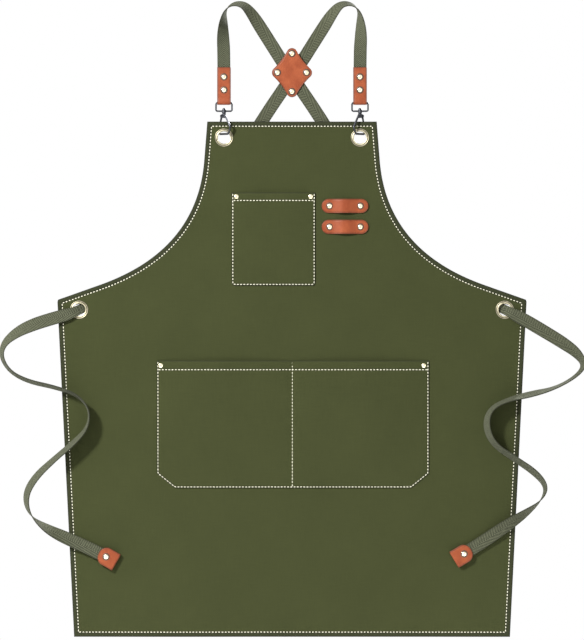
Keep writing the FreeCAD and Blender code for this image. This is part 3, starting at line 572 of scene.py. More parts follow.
for side, (tab_x, tab_z, tab_angle) in END_TABS.items():
    nose, back = -END_LENGTH / 2, END_LENGTH / 2 - PLY - LEATHER / 2
    run = nose + (back - nose) * (1 - np.cos(np.linspace(0.0, math.pi / 2, 34)))
    bend = np.linspace(-math.pi / 2, math.pi / 2, 13)[1:-1]
    along = np.concatenate([run, back + PLY * np.cos(bend), run[::-1]])
    depth = np.concatenate([np.full(len(run), -PLY), PLY * np.sin(bend), np.full(len(run), PLY)])
    into = np.clip((along - nose) / END_ROUND, 0.0, 1.0)
    widths = END_WIDTH * np.sqrt(np.clip(1 - (1 - into) ** 2, 0.004, 1.0))
    cos_a, sin_a = math.cos(tab_angle), math.sin(tab_angle)
    path = np.stack([tab_x + along * cos_a, END_Y + depth, tab_z + along * sin_a], axis=1)
    tab = leather_strip("end_leather_" + side, "tie_tab_" + side, path, [-sin_a, 0.0, cos_a],
                        widths, END_WIDTH, np.exp(-(along - nose) / (1.2 * MM)))
    cap = rivets("tie_tab_rivet_" + side,
                 [(tab_x - END_RIVET_BACK * cos_a, tab_z - END_RIVET_BACK * sin_a,
                   END_Y - TAB_FACE, END_Y + TAB_FACE)])
    tie, tie_path = ties[side]

# ---------------------------------------------------------------------------
# Canvas panel: one olive cloth, hemmed all round by folding it to the back, with four
# holes punched for the eyelets.
panel_low, panel_high = (np.array(c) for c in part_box("apron_panel"))
TOP_Z = panel_high[2]
BOTTOM_Z = panel_low[2]
WAIST_HALF = panel_high[0]
TOP_HALF = 131.4 * MM
WAIST_Z = -454.0 * MM
BOTTOM_HALF = 338.0 * MM
BIB_ANGLE = math.radians(-90 + 4.5)
ARM_ANGLE = math.radians(-19.5)
ARM_UP = 140.0 * MM
ARM_OUT = 160.0 * MM
CANVAS = 1.2 * MM
HEM = 9.0 * MM
SEAM_INSET = 7.3 * MM
BIB_EYE = middle_of("bib_eyelet_right")
WAIST_EYE = middle_of("waist_eyelet_right")


def half_outline(inset):
    """Points (x, z) down the right side, moved inwards by inset.

    A straight bib side, a parabola tangent to it and to the slope of the armhole, the
    slope, the waist corner and the straight side; the ends run past the cloth.
    """
    def moved(x, z, angle):
        return np.array([x + inset * math.sin(angle), z - inset * math.cos(angle)])

    def meet(p, angle_p, q, angle_q):
        d, e = (np.array([math.cos(a), math.sin(a)]) for a in (angle_p, angle_q))
        t = ((q[0] - p[0]) * e[1] - (q[1] - p[1]) * e[0]) / (d[0] * e[1] - d[1] * e[0])
        return p + t * d

    side_angle = math.atan2(BOTTOM_Z - WAIST_Z, BOTTOM_HALF - WAIST_HALF)
    bib = moved(TOP_HALF, TOP_Z, BIB_ANGLE)
    arm = moved(WAIST_HALF, WAIST_Z, ARM_ANGLE)
    side = moved(WAIST_HALF, WAIST_Z, side_angle)
    elbow = meet(bib, BIB_ANGLE, arm, ARM_ANGLE)
    waist = meet(arm, ARM_ANGLE, side, side_angle)
    extra = inset * math.tan((ARM_ANGLE - BIB_ANGLE) / 2)
    start = elbow - (ARM_UP + extra) * np.array([math.cos(BIB_ANGLE), math.sin(BIB_ANGLE)])
    end = elbow + (ARM_OUT + extra) * np.array([math.cos(ARM_ANGLE), math.sin(ARM_ANGLE)])
    share = np.linspace(0.0, 1.0, 60)[:, None]
    arc = (1 - share) ** 2 * start + 2 * share * (1 - share) * elbow + share ** 2 * end
    slope = end + (waist - end) * np.linspace(0, 1, 30)[1:, None]
    top = meet(bib, BIB_ANGLE, np.array([0.0, TOP_Z + 5 * MM]), 0.0)
    foot = meet(side, side_angle, np.array([0.0, BOTTOM_Z - 5 * MM]), 0.0)
    bib_run = top + (arc[0] - top) * np.linspace(0, 1, 12)[:-1, None]
    side_run = waist + (foot - waist) * np.linspace(0, 1, 40)[1:, None]
    return np.concatenate([bib_run, arc, slope, side_run])


def half_width(z, inset):
    """Half the cloth's width at each height."""
    outline = half_outline(inset)
    return np.interp(-np.asarray(z), -outline[:, 1], outline[:, 0])


def drape(x, z):
    """How far the cloth stands off its flat plane: slow waves that grow below the waist."""
    below = np.clip((-0.50 - z) / 0.45, 0.0, 1.0) ** 1.5
    waves = np.sin(x * 14.0 + 0.8) * 0.55 + np.sin(x * 25.0 - z * 3.0) * 0.3
    return below * waves * 1.3 * MM


THREAD_PITCH = 1.0 * MM


def canvas_material(name, dark, light, painted_shade_colour):
    """Plain-woven cotton canvas, with thicker yarns here and there, faint mottling, and painted
    shade where the piece's attribute says.
    """
    made, tree, shader = new_material(name, light, 0.88)
    where = add_node(tree, "ShaderNodeTexCoord").outputs["Object"]
    warp, weft = (add_node(tree, "ShaderNodeTexWave", [("Vector", where)], bands_direction=axis,
                           Scale=2 * math.pi / (20 * THREAD_PITCH)).outputs["Fac"]
                  for axis in "XZ")
    over = math_of(tree, "MULTIPLY", math_of(tree, "SUBTRACT", warp, 0.5),
                   math_of(tree, "SUBTRACT", weft, 0.5))
    weave = math_of(tree, "MULTIPLY_ADD", over, 2.0, 0.5)
    yarns = math_of(tree, "ADD", noise_on(tree, where, 1.0, 2.0, stretch=(40.0, 40.0, 1100.0)),
                    noise_on(tree, where, 1.0, 2.0, stretch=(1100.0, 40.0, 40.0)))
    cloud = noise_on(tree, where, 14.0, 5.0)
    tone = math_of(tree, "MULTIPLY_ADD", yarns, 0.28,
                   math_of(tree, "MULTIPLY_ADD", weave, 0.24,
                           math_of(tree, "MULTIPLY", cloud, 0.20)))
    dyed = ramp_between(tree, tone, dark, light, 0.2, 0.8)
    # Painted shade darkens the hems, seam grooves and pocket rims towards the dark grey.
    tree.links.new(shader.inputs["Base Color"], mixed_by(tree, wear_and_shade_of(tree), dyed, painted_shade_colour))
    shader.inputs["Specular IOR Level"].default_value = 0.05
    shader.inputs["Sheen Weight"].default_value = 0.01
    shader.inputs["Sheen Roughness"].default_value = 0.7
    relief = math_of(tree, "MULTIPLY_ADD", yarns, 0.35, weave)
    bump_into(tree, shader, relief, 0.28 * MM, 0.8)
    return made


canvas = canvas_material("olive_canvas", (0.0166, 0.0196, 0.0061), (0.0315, 0.0359, 0.0123),
                         (0.0100, 0.0108, 0.0090))


def cloth_shell(name, node, x, z, front, back, worn_and_shaded, keep=None):
    """A closed shell from a grid: a front and a back surface and the walls between them.

    x and z are the grid's places, front and back its two heights along Y.  keep says which
    cells stay, so a left out cell is a hole with walls of its own.  worn_and_shaded is how
    far wear and painted shade darken each place.
    """
    rows, columns = x.shape
    index = np.arange(rows * columns).reshape(rows, columns)
    cells = np.stack([index[:-1, :-1], index[1:, :-1], index[1:, 1:], index[:-1, 1:]], axis=-1)
    if keep is not None:
        cells = cells[keep]
    cells = cells.reshape(-1, 4)
    edges = np.stack([cells, np.roll(cells, -1, axis=1)], axis=-1).reshape(-1, 2)
    total = rows * columns
    forward = edges[:, 0] * total + edges[:, 1]
    backward = edges[:, 1] * total + edges[:, 0]
    rim = edges[~np.isin(forward, backward)]
    walls = np.stack([rim[:, 1], rim[:, 0], rim[:, 0] + total, rim[:, 1] + total], axis=1)
    faces = np.concatenate([cells, cells[:, ::-1] + total, walls])
    points = np.concatenate([np.stack([x, front, z], axis=-1).reshape(-1, 3),
                             np.stack([x, back, z], axis=-1).reshape(-1, 3)])
    used = np.unique(faces)
    renumber = np.zeros(len(points), dtype=int)
    renumber[used] = np.arange(len(used))
    return make_piece(name, points[used], renumber[faces], canvas, node,
                      edge=np.tile(np.ravel(worn_and_shaded), 2)[used])


def ridge(distance, at, width):
    """A smooth ridge one high: e to the minus square of the distance from at over width."""
    return np.exp(-((distance - at) / width) ** 2)


def fall(distance, at, width):
    """One before at and none after it, falling as the logistic curve of that width."""
    return 1 / (1 + np.exp(np.clip((distance - at) / width, -50, 50)))


def hem_front(distance):
    """Front face near an edge: rounded over, a little full, and pulled in at the seam."""
    rounding = 0.42 * MM * ridge(distance, 0.0, 0.45 * MM)
    fullness = -0.35 * MM * ridge(distance, 3.4 * MM, 2.2 * MM)
    seam = 0.50 * MM * ridge(distance, SEAM_INSET, 0.6 * MM)
    return rounding + fullness + seam


def hem_painted_shade(distance):
    """Painted shade on the hem: its band greyer than the cloth, darkest at its edge and in its
    seam's groove.
    """
    band = 0.42 * fall(distance, SEAM_INSET, 0.3 * MM)
    edge = 0.6 * ridge(distance, 0.0, 0.9 * MM)
    seam = 0.6 * ridge(distance, SEAM_INSET, 1.0 * MM)
    return np.clip(band + edge + seam, 0.0, 1.0)


def hem_back(distance):
    """Back face near an edge: the folded ply, rounded over and ending past its seam."""
    fold = CANVAS * fall(distance, HEM, 0.09 * MM)
    rounding = -0.42 * MM * ridge(distance, 0.0, 0.45 * MM)
    seam = -0.25 * MM * ridge(distance, SEAM_INSET, 0.55 * MM)
    return fold + rounding + seam


# The grid's rows and columns are close together near the edges of the cloth.
edge_steps = np.array([0.0, 0.25, 0.7, 1.4, 2.8, 4.6, 6.3, 6.9, 7.3, 7.7, 8.4, 8.9, 9.2, 11.0,
                       14.0]) * MM
EVEN_ROWS = 16 * MM

outline = half_outline(0.0)
inside = (outline[:, 1] < TOP_Z - EVEN_ROWS) & (outline[:, 1] > BOTTOM_Z + EVEN_ROWS)
body_outline = outline[inside]
arc_length = np.concatenate([[0.0], np.cumsum(np.linalg.norm(np.diff(body_outline, axis=0),
                                                             axis=1))])
body_rows = np.interp(np.linspace(0.0, arc_length[-1], 215), arc_length, body_outline[:, 1])
z_rows = np.concatenate([TOP_Z - edge_steps, body_rows, BOTTOM_Z + edge_steps[::-1]])
side_columns = np.stack([half_width(z_rows, step) for step in edge_steps], axis=1)
middle_columns = side_columns[:, -1:] * np.linspace(-1, 1, 150)[None, 1:-1]
grid_x = np.concatenate([-side_columns, middle_columns, side_columns[:, ::-1]], axis=1)
grid_z = np.broadcast_to(z_rows[:, None], grid_x.shape).copy()
side_distance = np.concatenate([edge_steps, np.ones(middle_columns.shape[1]),
                                edge_steps[::-1]])[None, :]
row_distance = np.minimum(TOP_Z - z_rows, z_rows - BOTTOM_Z)[:, None]
edge_distance = np.minimum(side_distance, row_distance)

# Each hole is a patch of left out cells, whose rim is pushed out to a circle.
PUNCH = 11.3 * MM
GATHER = 8.0 * MM
SPREAD = 20.0 * MM
solid_cell = np.ones((grid_x.shape[0] - 1, grid_x.shape[1] - 1), dtype=bool)
for eye_x, eye_z in [(sign * x, z) for sign in (-1, 1) for x, z in (BIB_EYE, WAIST_EYE)]:
    dx, dz = grid_x - eye_x, grid_z - eye_z
    radius = np.hypot(dx, dz) + 1e-9
    pushed = PUNCH + np.maximum(radius - GATHER, 0.0) * (SPREAD - PUNCH) / (SPREAD - GATHER)
    scale = np.where(radius < SPREAD, pushed / radius, 1.0)
    near = radius < GATHER
    solid_cell &= ~(near[:-1, :-1] & near[1:, :-1] & near[1:, 1:] & near[:-1, 1:])
    grid_x, grid_z = eye_x + dx * scale, eye_z + dz * scale
sway = drape(grid_x, grid_z)
panel = cloth_shell("canvas_panel", "apron_panel", grid_x, grid_z,
                    sway - CANVAS / 2 + hem_front(edge_distance),
                    sway + CANVAS / 2 + hem_back(edge_distance),
                    hem_painted_shade(edge_distance), solid_cell)

# Cream lockstitch round the hem: one thread shows on each face.
STITCH_PITCH = 5.0 * MM
STITCH_LENGTH = 3.0 * MM
STITCH_WIDE = 0.75 * MM
STITCH_HIGH = 0.4 * MM
STITCH_SINK = 0.02 * MM
thread = speckled_material("cream_thread", (0.33, 0.32, 0.24), 0.75, (0.27, 0.26, 0.19),
                           (0.46, 0.445, 0.345), 0.6, 1500.0, 2.0, 0.5)


def stitch_line(corners, heights):
    """Stitches along straight runs between corners, each a long rounded bead of thread.

    heights gives Y for arrays of x and z.  Each bead is rings of an ellipse whose size
    falls towards its two ends.
    """
    corners = np.asarray(corners, dtype=float)
    steps = np.linalg.norm(np.diff(corners, axis=0), axis=1)
    distance = np.concatenate([[0.0], np.cumsum(steps)])
    count = max(2, int(distance[-1] / STITCH_PITCH))
    middles = (np.arange(count) + 0.5) * distance[-1] / count
    start, end = (np.stack([np.interp(at, distance, corners[:, axis]) for axis in (0, 1)], axis=1)
                  for at in (np.clip(middles + shift, 0.0, distance[-1])
                             for shift in (-STITCH_LENGTH / 2, STITCH_LENGTH / 2)))
    mid = (start + end) / 2
    mid_x, mid_z = mid.T[..., None, None]
    along_x, along_z = unit(end - start + 1e-12).T[..., None, None]
    places = np.array([-1.0, -0.86, -0.45, 0.45, 0.86, 1.0])[:, None]
    sizes = np.array([0.12, 0.62, 1.0, 1.0, 0.62, 0.12])[:, None]
    turn = np.arange(6) * math.pi / 3
    offset_along = places * (STITCH_LENGTH / 2) + 0 * turn
    offset_side = sizes * np.cos(turn) * STITCH_WIDE
    x = mid_x + along_x * offset_along - along_z * offset_side
    z = mid_z + along_z * offset_along + along_x * offset_side
    y = heights(mid[:, 0], mid[:, 1])[:, None, None] - sizes * np.sin(turn) * STITCH_HIGH
    points = np.stack([x, y, z], axis=-1).reshape(-1, 3)
    rings, around = len(places), len(turn)
    bead = (np.arange(count) * rings * around)[:, None, None]
    this = np.arange(around)
    caps = np.stack([this, (rings - 1) * around + this[::-1]])
    return points, ((quads_between(rings, around) + bead).reshape(-1, 4).tolist()
                    + (caps + bead).reshape(-1, around).tolist())


def seams(name, lines_and_heights):
    """One piece of thread for a group of seams."""
    points, faces = joined([stitch_line(*line) for line in lines_and_heights])
    make_piece(name, points, faces, thread)


seam_side = half_outline(SEAM_INSET)
within = (seam_side[:, 1] < TOP_Z - SEAM_INSET) & (seam_side[:, 1] > BOTTOM_Z + SEAM_INSET)
seam_top = (float(half_width(TOP_Z - SEAM_INSET, SEAM_INSET)), TOP_Z - SEAM_INSET)
seam_foot = (float(half_width(BOTTOM_Z + SEAM_INSET, SEAM_INSET)), BOTTOM_Z + SEAM_INSET)
right_side = np.concatenate([[seam_top], seam_side[within], [seam_foot]])
left_side = right_side * np.array([-1.0, 1.0])
hem_runs = [right_side, left_side, [(-seam_top[0], seam_top[1]), seam_top],
            [(-seam_foot[0], seam_foot[1]), seam_foot]]


def panel_face(x, z):
    """Where hem stitches lie on the front."""
    return drape(x, z) - CANVAS / 2 + STITCH_SINK


def panel_rear(x, z):
    """Where hem stitches lie on the folded ply at the back."""
    return drape(x, z) + CANVAS * 1.5 - STITCH_SINK


seams("hem_stitches", [(run, panel_face) for run in hem_runs])
seams("hem_stitches_back", [(run, panel_rear) for run in hem_runs])

# ---------------------------------------------------------------------------
# Chest pocket and divided lower pocket: canvas patches sewn down on three sides, with a
# folded hem at the mouth and a rivet at each top corner.  The mouths stand a little open.
CHEST_HEM = 12.0 * MM
LOWER_HEM = 13.8 * MM
DIVIDER_X = 0.6 * MM
POCKET_SEAM = 1.7 * MM
POCKET_ROWS = 70
PATCH_REAR = -CANVAS / 2 - HAIR
pocket_steps = np.array([0.0, 0.25, 0.7, 1.2, 1.7, 2.2, 3.0, 5.0, 8.0]) * MM


def pocket_grid(box, cut, corner, columns):
    """Grid over a patch whose two lower corners are cut off or rounded.

    Returns x and z, and each place's distance from the sewn edges and from the mouth.
    """
    (x0, z0), (x1, z1) = box
    cut_x, cut_z = cut
    edge = pocket_steps
    even = np.linspace(z1 - edge[-1], z0 + edge[-1], POCKET_ROWS)[1:-1]
    z_list = np.concatenate([z1 - edge, even, z0 + edge[::-1]])
    rise = z_list - z0
    if cut_z > 0.0:
        shrink = np.clip(1 - rise / cut_z, 0.0, 1.0) * cut_x
    else:
        low = np.clip(corner - rise, 0.0, corner)
        shrink = corner - np.sqrt(np.maximum(corner ** 2 - low ** 2, 0.0))
    left, right = x0 + shrink, x1 - shrink
    inner = np.linspace(0.0, 1.0, columns)[None, 1:-1]
    middle = (left + edge[-1])[:, None] * (1 - inner) + (right - edge[-1])[:, None] * inner
    x = np.concatenate([left[:, None] + edge, middle, right[:, None] - edge[::-1]], axis=1)
    z = np.broadcast_to(z_list[:, None], x.shape).copy()
    side = np.minimum(x - left[:, None], right[:, None] - x)
    if cut_z > 0.0:
        slant = math.hypot(cut_x, cut_z)
        for line in ((x - x0), (x1 - x)):
            corner_distance = (line * cut_z + (z - z0) * cut_x - cut_x * cut_z) / slant
            side = np.minimum(side, np.maximum(corner_distance, 0.0))
    return x, z, np.minimum(side, z - z0), z1 - z


def pocket_fullness(x, x0, x1, down, height, gap):
    """How far the patch stands off the panel.

    Across, it rises as a root of a sine from each seam; down, it falls from the mouth to
    the bottom seam as one less a power of the depth.
    """
    share = np.clip((x - x0) / (x1 - x0), 0.0, 1.0)
    across = np.sin(share * math.pi) ** 0.75
    depth = np.clip(down / height, 0.0, 1.0)
    return gap * across * (1 - depth ** 1.6) ** 1.1


def pocket(name, node, box, hem, bays, gap, columns, cut=(0.0, 0.0), corner=0.0):
    """A patch pocket and the function that gives the height of its face."""
    (x0, z0), (x1, z1) = box
    x, z, edge, down = pocket_grid(box, cut, corner, columns)

    def stand_off(px, pz):
        full = np.zeros(np.shape(px))
        for a, b in bays:
            full = full + np.where((px >= a) & (px <= b),
                                   pocket_fullness(px, a, b, z1 - pz, z1 - z0, gap), 0.0)
        return full

    full = stand_off(x, z)
    rear = drape(x, z) + PATCH_REAR
    mouth_ply = CANVAS * 0.7 * fall(down, hem + 2 * MM, 0.2 * MM)
    mouth_ply = mouth_ply * np.clip((edge - 4 * MM) / (8 * MM), 0.0, 1.0)
    seam = 0.30 * MM * ridge(edge, POCKET_SEAM, 0.5 * MM)
    hem_seam = 0.22 * MM * ridge(down, hem, 0.7 * MM)
    rim = 0.35 * MM * (ridge(edge, 0.0, 0.4 * MM) + ridge(down, 0.0, 0.5 * MM))
    lip = -0.25 * MM * ridge(down, 5 * MM, 4 * MM)
    front = rear - CANVAS - full + seam + hem_seam + rim + lip
    back = np.minimum(rear - full + mouth_ply, rear)
    # Painted shade in the seam and hem grooves, and a painted shadow along the patch's rim.
    seam_groove_shade = 0.7 * ridge(edge, POCKET_SEAM, 0.8 * MM)
    hem_groove_shade = 0.6 * ridge(down, hem, 0.8 * MM)
    rim_painted_shadow = 0.9 * ridge(np.minimum(edge, down), 0.0, 0.7 * MM)
    piece = cloth_shell(name, node, x, z, front, back,
                        np.clip(seam_groove_shade + hem_groove_shade + rim_painted_shadow, 0.0, 1.0))

    def face(px, pz):
        return drape(px, pz) + PATCH_REAR - CANVAS - stand_off(px, pz) - STITCH_SINK

    return piece, face


def box_xz(node):
    """Lowest and highest (x, z) of a CAD node."""
    low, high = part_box(node)
    return (low[0], low[2]), (high[0], high[2])


def patch_seams(box, cut, hem):
    """Where a patch is stitched: round its three sewn sides, and along its folded mouth."""
    (x0, z0), (x1, z1) = box
    left, right, low = x0 + POCKET_SEAM, x1 - POCKET_SEAM, z0 + POCKET_SEAM
    sides = [(left, z1 - MM), (left, z0 + cut[1]), (x0 + cut[0], low),
             (x1 - cut[0], low), (right, z0 + cut[1]), (right, z1 - MM)]
    return sides, [(left, z1 - hem), (right, z1 - hem)]


LOWER_CUT = (28.0 * MM, 23.0 * MM)
chest_box = box_xz("chest_pocket")
lower_box = box_xz("lower_pocket")
(lower_x0, lower_z0), (lower_x1, lower_z1) = lower_box
chest, chest_face = pocket("chest_pocket_patch", "chest_pocket", chest_box, CHEST_HEM,
                           [(chest_box[0][0], chest_box[1][0])], 3.6 * MM, 60,
                           corner=4.5 * MM)
lower, lower_face = pocket("lower_pocket_patch", "lower_pocket", lower_box, LOWER_HEM,
                           [(lower_x0, DIVIDER_X), (DIVIDER_X, lower_x1)], 5.5 * MM,
                           150, cut=LOWER_CUT)
chest_seam, chest_hem = patch_seams(chest_box, (3.5 * MM, 3.5 * MM), CHEST_HEM)
lower_seam, lower_hem = patch_seams(lower_box, LOWER_CUT, LOWER_HEM)
divider = [(DIVIDER_X, lower_z1 - MM), (DIVIDER_X, lower_z0 + POCKET_SEAM)]


def cloth_back(x, z):
    """Where the pockets' stitches come out on the back of the panel."""
    return drape(x, z) + CANVAS / 2 - STITCH_SINK


seams("chest_pocket_stitches", [(chest_seam, chest_face), (chest_hem, chest_face)])
seams("lower_pocket_stitches", [(lower_seam, lower_face), (lower_hem, lower_face),
                                (divider, lower_face)])
seams("pocket_stitches_back", [(chest_seam, cloth_back), (lower_seam, cloth_back),
                               (divider, cloth_back)])


def rivet_pair(node, face, pressed=()):
    """Rivets at the middles of a CAD node's two solids, seated on a face height."""
    low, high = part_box(node)
    level = (low[2] + high[2]) / 2
    rivets(node, [(x, level, float(face(np.array(x), np.array(level))),
                   float(drape(x, level)) + CANVAS / 2 + HAIR)
                  for x in (low[0] + RIVET_SEAT, high[0] - RIVET_SEAT)], pressed)


rivet_pair("chest_pocket_rivets", chest_face)
rivet_pair("lower_pocket_rivets", lower_face)

# ---------------------------------------------------------------------------
# Pen loops: two leather strips with round ends, riveted at each end and bowed between
# the rivets so that a pen slides down behind both.
PEN_FLAT = 15.0 * MM
PEN_RISE = 20.0 * MM
PEN_GAP = 3.2 * MM


def eased(share):
    """A share that starts and ends gently: three of its square less two of its cube."""
    return share * share * (3 - 2 * share)


for level in ("upper", "lower"):
    (pen_x0, pen_z0), (pen_x1, pen_z1) = box_xz("pen_loop_" + level)
    pen_height = pen_z1 - pen_z0
    round_run = pen_height / 2 * (1 - np.cos(np.linspace(0.0, math.pi / 2, 16)))
    straight_run = np.linspace(pen_x0 + pen_height / 2, pen_x1 - pen_height / 2, 70)[1:-1]
    stations = np.concatenate([pen_x0 + round_run, straight_run, pen_x1 - round_run[::-1]])
    from_end = np.minimum(stations - pen_x0, pen_x1 - stations)
    bow = PEN_GAP * eased(np.clip((from_end - PEN_FLAT) / PEN_RISE, 0.0, 1.0))
    path = np.stack([stations, PATCH_REAR - LEATHER / 2 - bow,
                     np.full(len(stations), (pen_z0 + pen_z1) / 2)], axis=1)
    round_end = np.clip(from_end / (pen_height / 2), 0.0, 1.0)
    widths = pen_height * np.sqrt(np.clip(1 - (1 - round_end) ** 2, 0.003, 1.0))
    leather_strip("pen_leather_" + level, "pen_loop_" + level, path, [0.0, 0.0, 1.0], widths,
                  pen_height, np.exp(-from_end / (1.0 * MM)))
    rivet_pair("pen_loop_rivets_" + level, lambda x, z: PATCH_REAR - LEATHER, pressed=(-1,))

# ---------------------------------------------------------------------------
# Eyelets: pressed brass, a rounded flange on the front, a barrel through the cloth rolled
# over a washer at the back.
EYE_SIDES = 64
EYE_BORE = 9.5
EYE_RIM = 14.25
eyelet_brass = metal_material("eyelet_brass", (0.47, 0.43, 0.30), (0.28, 0.25, 0.165), 0.45)

# Profiles are (radius, height from a face of the cloth) in millimetres.
swell = np.linspace(0.0, math.pi, 13)[1:]
flange = [(EYE_BORE, -0.35),
          *zip(10.85 - 1.35 * np.cos(swell), -0.1 - 1.3 * np.abs(np.sin(swell)) ** 0.6),
          (12.4, -0.08), (12.7, -0.5), (13.4, -0.62), (14.05, -0.45), (EYE_RIM, -0.05),
          (10.3, -0.02)]
roll = [(10.3, 0.8), (11.2, 0.8), (11.3, 1.1), (10.8, 1.38), (10.1, 1.4), (9.6, 1.2),
        (EYE_BORE, 0.8)]
washer = [(10.4, 0.05), (13.9, 0.05), (14.2, 0.25), (13.9, 0.6), (12.2, 0.74), (10.4, 0.72)]
eyelet_profile = np.concatenate([np.array(flange) * MM - (0.0, CANVAS / 2),
                                 np.array(roll) * MM + (0.0, CANVAS / 2)])
washer_profile = np.array(washer) * MM + (0.0, CANVAS / 2)
tarnish = np.interp(eyelet_profile[:, 0], np.array([9.5, 10.2, 11.6, 12.3, 12.7, 13.5, 14.2]) * MM,
                    [0.75, 0.0, 0.1, 0.95, 0.5, 0.25, 0.95])
for group, (eye_x, eye_z) in (("bib", BIB_EYE), ("waist", WAIST_EYE)):
    for side, sign in (("left", -1), ("right", 1)):
        for part, profile, worn_and_shaded in (("eyelet", eyelet_profile, np.repeat(tarnish, EYE_SIDES)),
                                    ("eyelet_washer", washer_profile, None)):
            node = "%s_%s_%s" % (group, part, side)
            points, faces = lathe(profile, sign * eye_x, eye_z, EYE_SIDES)
            make_piece(node + "_brass", points, faces, eyelet_brass, node,
                       edge=worn_and_shaded)

# ---------------------------------------------------------------------------
# Shoulder straps: the same webbing.  Each rises from its hook, turns over at the top,
# crosses the other behind the bib and runs down the back to the opposite waist eyelet.
STRAP_RISE = [
    (-0.1055, 0.0, -0.143, 0, 1), (-0.1055, 0.0, -0.072, 0, 1),
    (-0.107, 0.0004, -0.047, 20, 1), (-0.1066, 0.0016, -0.024, 50, 1),
    (-0.1036, 0.0024, -0.0035, 88, 1), (-0.091, 0.003, 0.0062, 110, 1),
    (-0.0745, 0.0036, 0.0046, 128, 1), (-0.062, 0.0042, -0.01, 150, 1),
    (-0.05, 0.0048, -0.029, 172, 1), (-0.036, 0.00515, -0.051, 180, 1),
    (-0.014, 0.00515, -0.086, 180, 1), (0.0105, 0.00515, -0.122, 180, 1),
    (0.043, 0.00515, -0.17, 180, 1), (0.076, 0.005, -0.224, 180, 1),
    (0.102, 0.0048, -0.284, 180, 1), (0.123, 0.0048, -0.345, 180, 1)]
STRAP_TO_EYE = [
    (-0.1622, 0.0046, 0.0642, 180, 1), (-0.1022, 0.0046, 0.0272, 180, 1),
    (-0.0422, 0.0046, 0.0142, 180, 1), (-0.0174, 0.0046, 0.0078, 180, 0.96),
    (-0.0084, 0.0042, 0.004, 180, 0.751), (0.0, 0.0, 0.0, 180, 0.751)]
strap_route = STRAP_RISE + [(WAIST_EYE[0] + x, y, WAIST_EYE[1] + z, twist, share)
                            for x, y, z, twist, share in STRAP_TO_EYE]
# The right strap is the left one's mirror, a ply further back except in its eyelet.
BEHIND = 0.0017
mirror_route = [(-x, y + (BEHIND if y > 0.003 and i < len(strap_route) - 2 else 0.0), z, -twist,
                 share) for i, (x, y, z, twist, share) in enumerate(strap_route)]
for side, route in (("left", strap_route), ("right", mirror_route)):
    path, (points, faces, uv, wear_and_shade) = webbing_on(route)
    strap = make_piece("strap_webbing_" + side, points, faces, webbing,
                       "shoulder_strap_" + side, uv, wear_and_shade)

# ---------------------------------------------------------------------------
# Hook tabs: a strip of leather folded round the strap loop's bar, with the end of the
# webbing between its two plies, and two rivets.
FOLD = 2.5 * MM
FLARE = 7 * MM
BAR_RADIUS = 1.3 * MM
for side in ("left", "right"):
    (tab_x0, _), (tab_x1, tab_top) = box_xz("hook_tab_" + side)
    bar_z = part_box("strap_loop_" + side)[1][2] - BAR_RADIUS
    down = np.linspace(tab_top, bar_z + FLARE, 34)
    ease = np.linspace(0.0, 1.0, 12)[1:]
    flare_z = bar_z + FLARE * (1 - ease)
    flare_y = PLY + (FOLD - PLY) * eased(ease)
    wrap = np.linspace(0.0, math.pi, 22)[1:-1]
    path_y = np.concatenate([np.full(len(down), -PLY), -flare_y, -FOLD * np.cos(wrap),
                             flare_y[::-1], np.full(len(down), PLY)])
    path_z = np.concatenate([down, flare_z, bar_z - FOLD * np.sin(wrap), flare_z[::-1],
                             down[::-1]])
    path = np.stack([np.full(len(path_y), (tab_x0 + tab_x1) / 2), path_y, path_z], axis=1)
    leather_strip("hook_leather_" + side, "hook_tab_" + side, path, [1.0, 0.0, 0.0],
                  np.full(len(path), tab_x1 - tab_x0), tab_x1 - tab_x0,
                  np.exp(-np.abs(path_z - tab_top) / (1.0 * MM)) * 0.9)
    low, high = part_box("hook_tab_rivets_" + side)
    rivets("hook_tab_rivets_" + side,
           [((low[0] + high[0]) / 2, level, -TAB_FACE, TAB_FACE)
            for level in (low[2] + RIVET_SEAT, high[2] - RIVET_SEAT)])

# ---------------------------------------------------------------------------
# Leather diamond: two plies with four rounded ears, one each side of the crossing, held
# together by a rivet through each ear.
CROSS_TIP = 8.5 * MM
SIDE_WAIST = 1.5 * MM
PLATE_SIDES = 240
(cross_x0, cross_z0), (cross_x1, cross_z1) = box_xz("cross_patch_front")
cross_centre_z = (cross_z0 + cross_z1) / 2
ear_x, ear_z = (cross_x1 - cross_x0) / 2 - CROSS_TIP, (cross_z1 - cross_z0) / 2 - CROSS_TIP


def diamond_radius(angle):
    """Distance from the centre to the outline: the further of the ears and the waisted sides."""
    cos_a, sin_a = np.abs(np.cos(angle)), np.abs(np.sin(angle))
    span = math.hypot(ear_x, ear_z)
    normal = np.array([ear_z, ear_x]) / span
    offset = ear_x * ear_z / span + CROSS_TIP
    straight = offset / (cos_a * normal[0] + sin_a * normal[1])
    tangent_share = (straight * sin_a - CROSS_TIP * normal[1]) / ear_z
    drawn = SIDE_WAIST * np.clip(4 * tangent_share * (1 - tangent_share), 0.0, 1.0)
    side = (offset - drawn) / (cos_a * normal[0] + sin_a * normal[1])

    def ear(centre_x, centre_z):
        dot = centre_x * cos_a + centre_z * sin_a
        inside = CROSS_TIP ** 2 - (centre_x ** 2 + centre_z ** 2 - dot ** 2)
        return np.where(inside > 0, dot + np.sqrt(np.maximum(inside, 0.0)), 0.0)

    between = (tangent_share > 0) & (tangent_share < 1)
    return np.where(between, side, np.maximum(ear(ear_x, 0.0), ear(0.0, ear_z)))


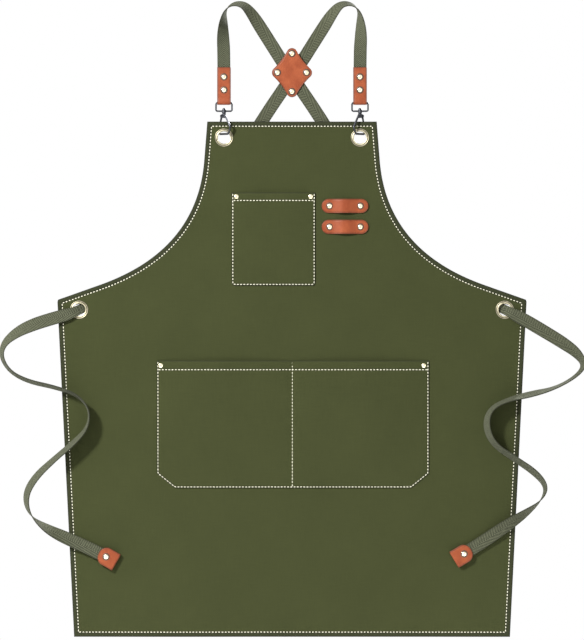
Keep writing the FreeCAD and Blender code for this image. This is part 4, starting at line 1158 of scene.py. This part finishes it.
def leather_plate(radius_at, z, y_mid, thick):
    """A flat piece of leather whose outline is a distance for each angle about (0, z).

    Rings run from the centre of the front face out over the rounded edge to the centre
    of the back face.
    """
    angle = np.arange(PLATE_SIDES) * 2 * math.pi / PLATE_SIDES
    radius = radius_at(angle)
    insets, creases = LEATHER_INSETS[7::-1, None], LEATHER_CREASES[7::-1, None]
    shares = np.linspace(0.12, 0.88, 12)[:, None]
    reach = np.concatenate([(radius - insets[0]) * shares, radius - insets])
    depth = np.concatenate([0 * shares + thick / 2 + HAIR, thick / 2 - creases])
    worn_and_shaded = np.concatenate([0 * shares, np.exp(-insets / (1.1 * MM))])
    reach = np.concatenate([reach, [radius], reach[::-1]])
    depth = np.concatenate([depth, [[0.0]], -depth[::-1]])
    worn_and_shaded = np.concatenate([worn_and_shaded, [[1.0]], worn_and_shaded[::-1]])
    rings = np.stack([reach * np.cos(angle), y_mid - depth + 0 * angle,
                      z + reach * np.sin(angle)], axis=-1)
    points, faces = joined_rings(rings, [(0.0, y_mid - thick / 2 - HAIR, z),
                                         (0.0, y_mid + thick / 2 + HAIR, z)])
    return points, faces, np.concatenate([np.repeat(worn_and_shaded, PLATE_SIDES), [0.0, 0.0]])


for node in ("cross_patch_front", "cross_patch_back"):
    low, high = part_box(node)
    points, faces, wear_and_shade = leather_plate(diamond_radius, cross_centre_z, (low[1] + high[1]) / 2,
                                        high[1] - low[1])
    make_piece(node + "_leather", points, faces, leather, node, edge=wear_and_shade)
front_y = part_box("cross_patch_front")[0][1] - HAIR
back_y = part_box("cross_patch_back")[1][1] + HAIR
rivets("cross_patch_rivets",
       [(x, cross_centre_z + dz, front_y, back_y)
        for x, dz in ((0.0, ear_z), (0.0, -ear_z), (ear_x, 0.0), (-ear_x, 0.0))])

# ---------------------------------------------------------------------------
# Strap loops and snap hooks: dark plated castings and wire, made to size in the frame.
# The gate's spring is bare steel.
gunmetal = metal_material("gunmetal", (0.052, 0.054, 0.060), (0.022, 0.023, 0.027), 0.40)
spring_steel = metal_material("spring_steel", (0.42, 0.42, 0.43), (0.25, 0.25, 0.26), 0.3)
for side in ("left", "right"):
    for node, finish in (("strap_loop_", gunmetal), ("snap_hook_", gunmetal),
                         ("snap_gate_", gunmetal), ("gate_pin_", gunmetal),
                         ("gate_spring_", spring_steel)):
        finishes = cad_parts[node + side].data.materials
        finishes.clear()
        finishes.append(finish)
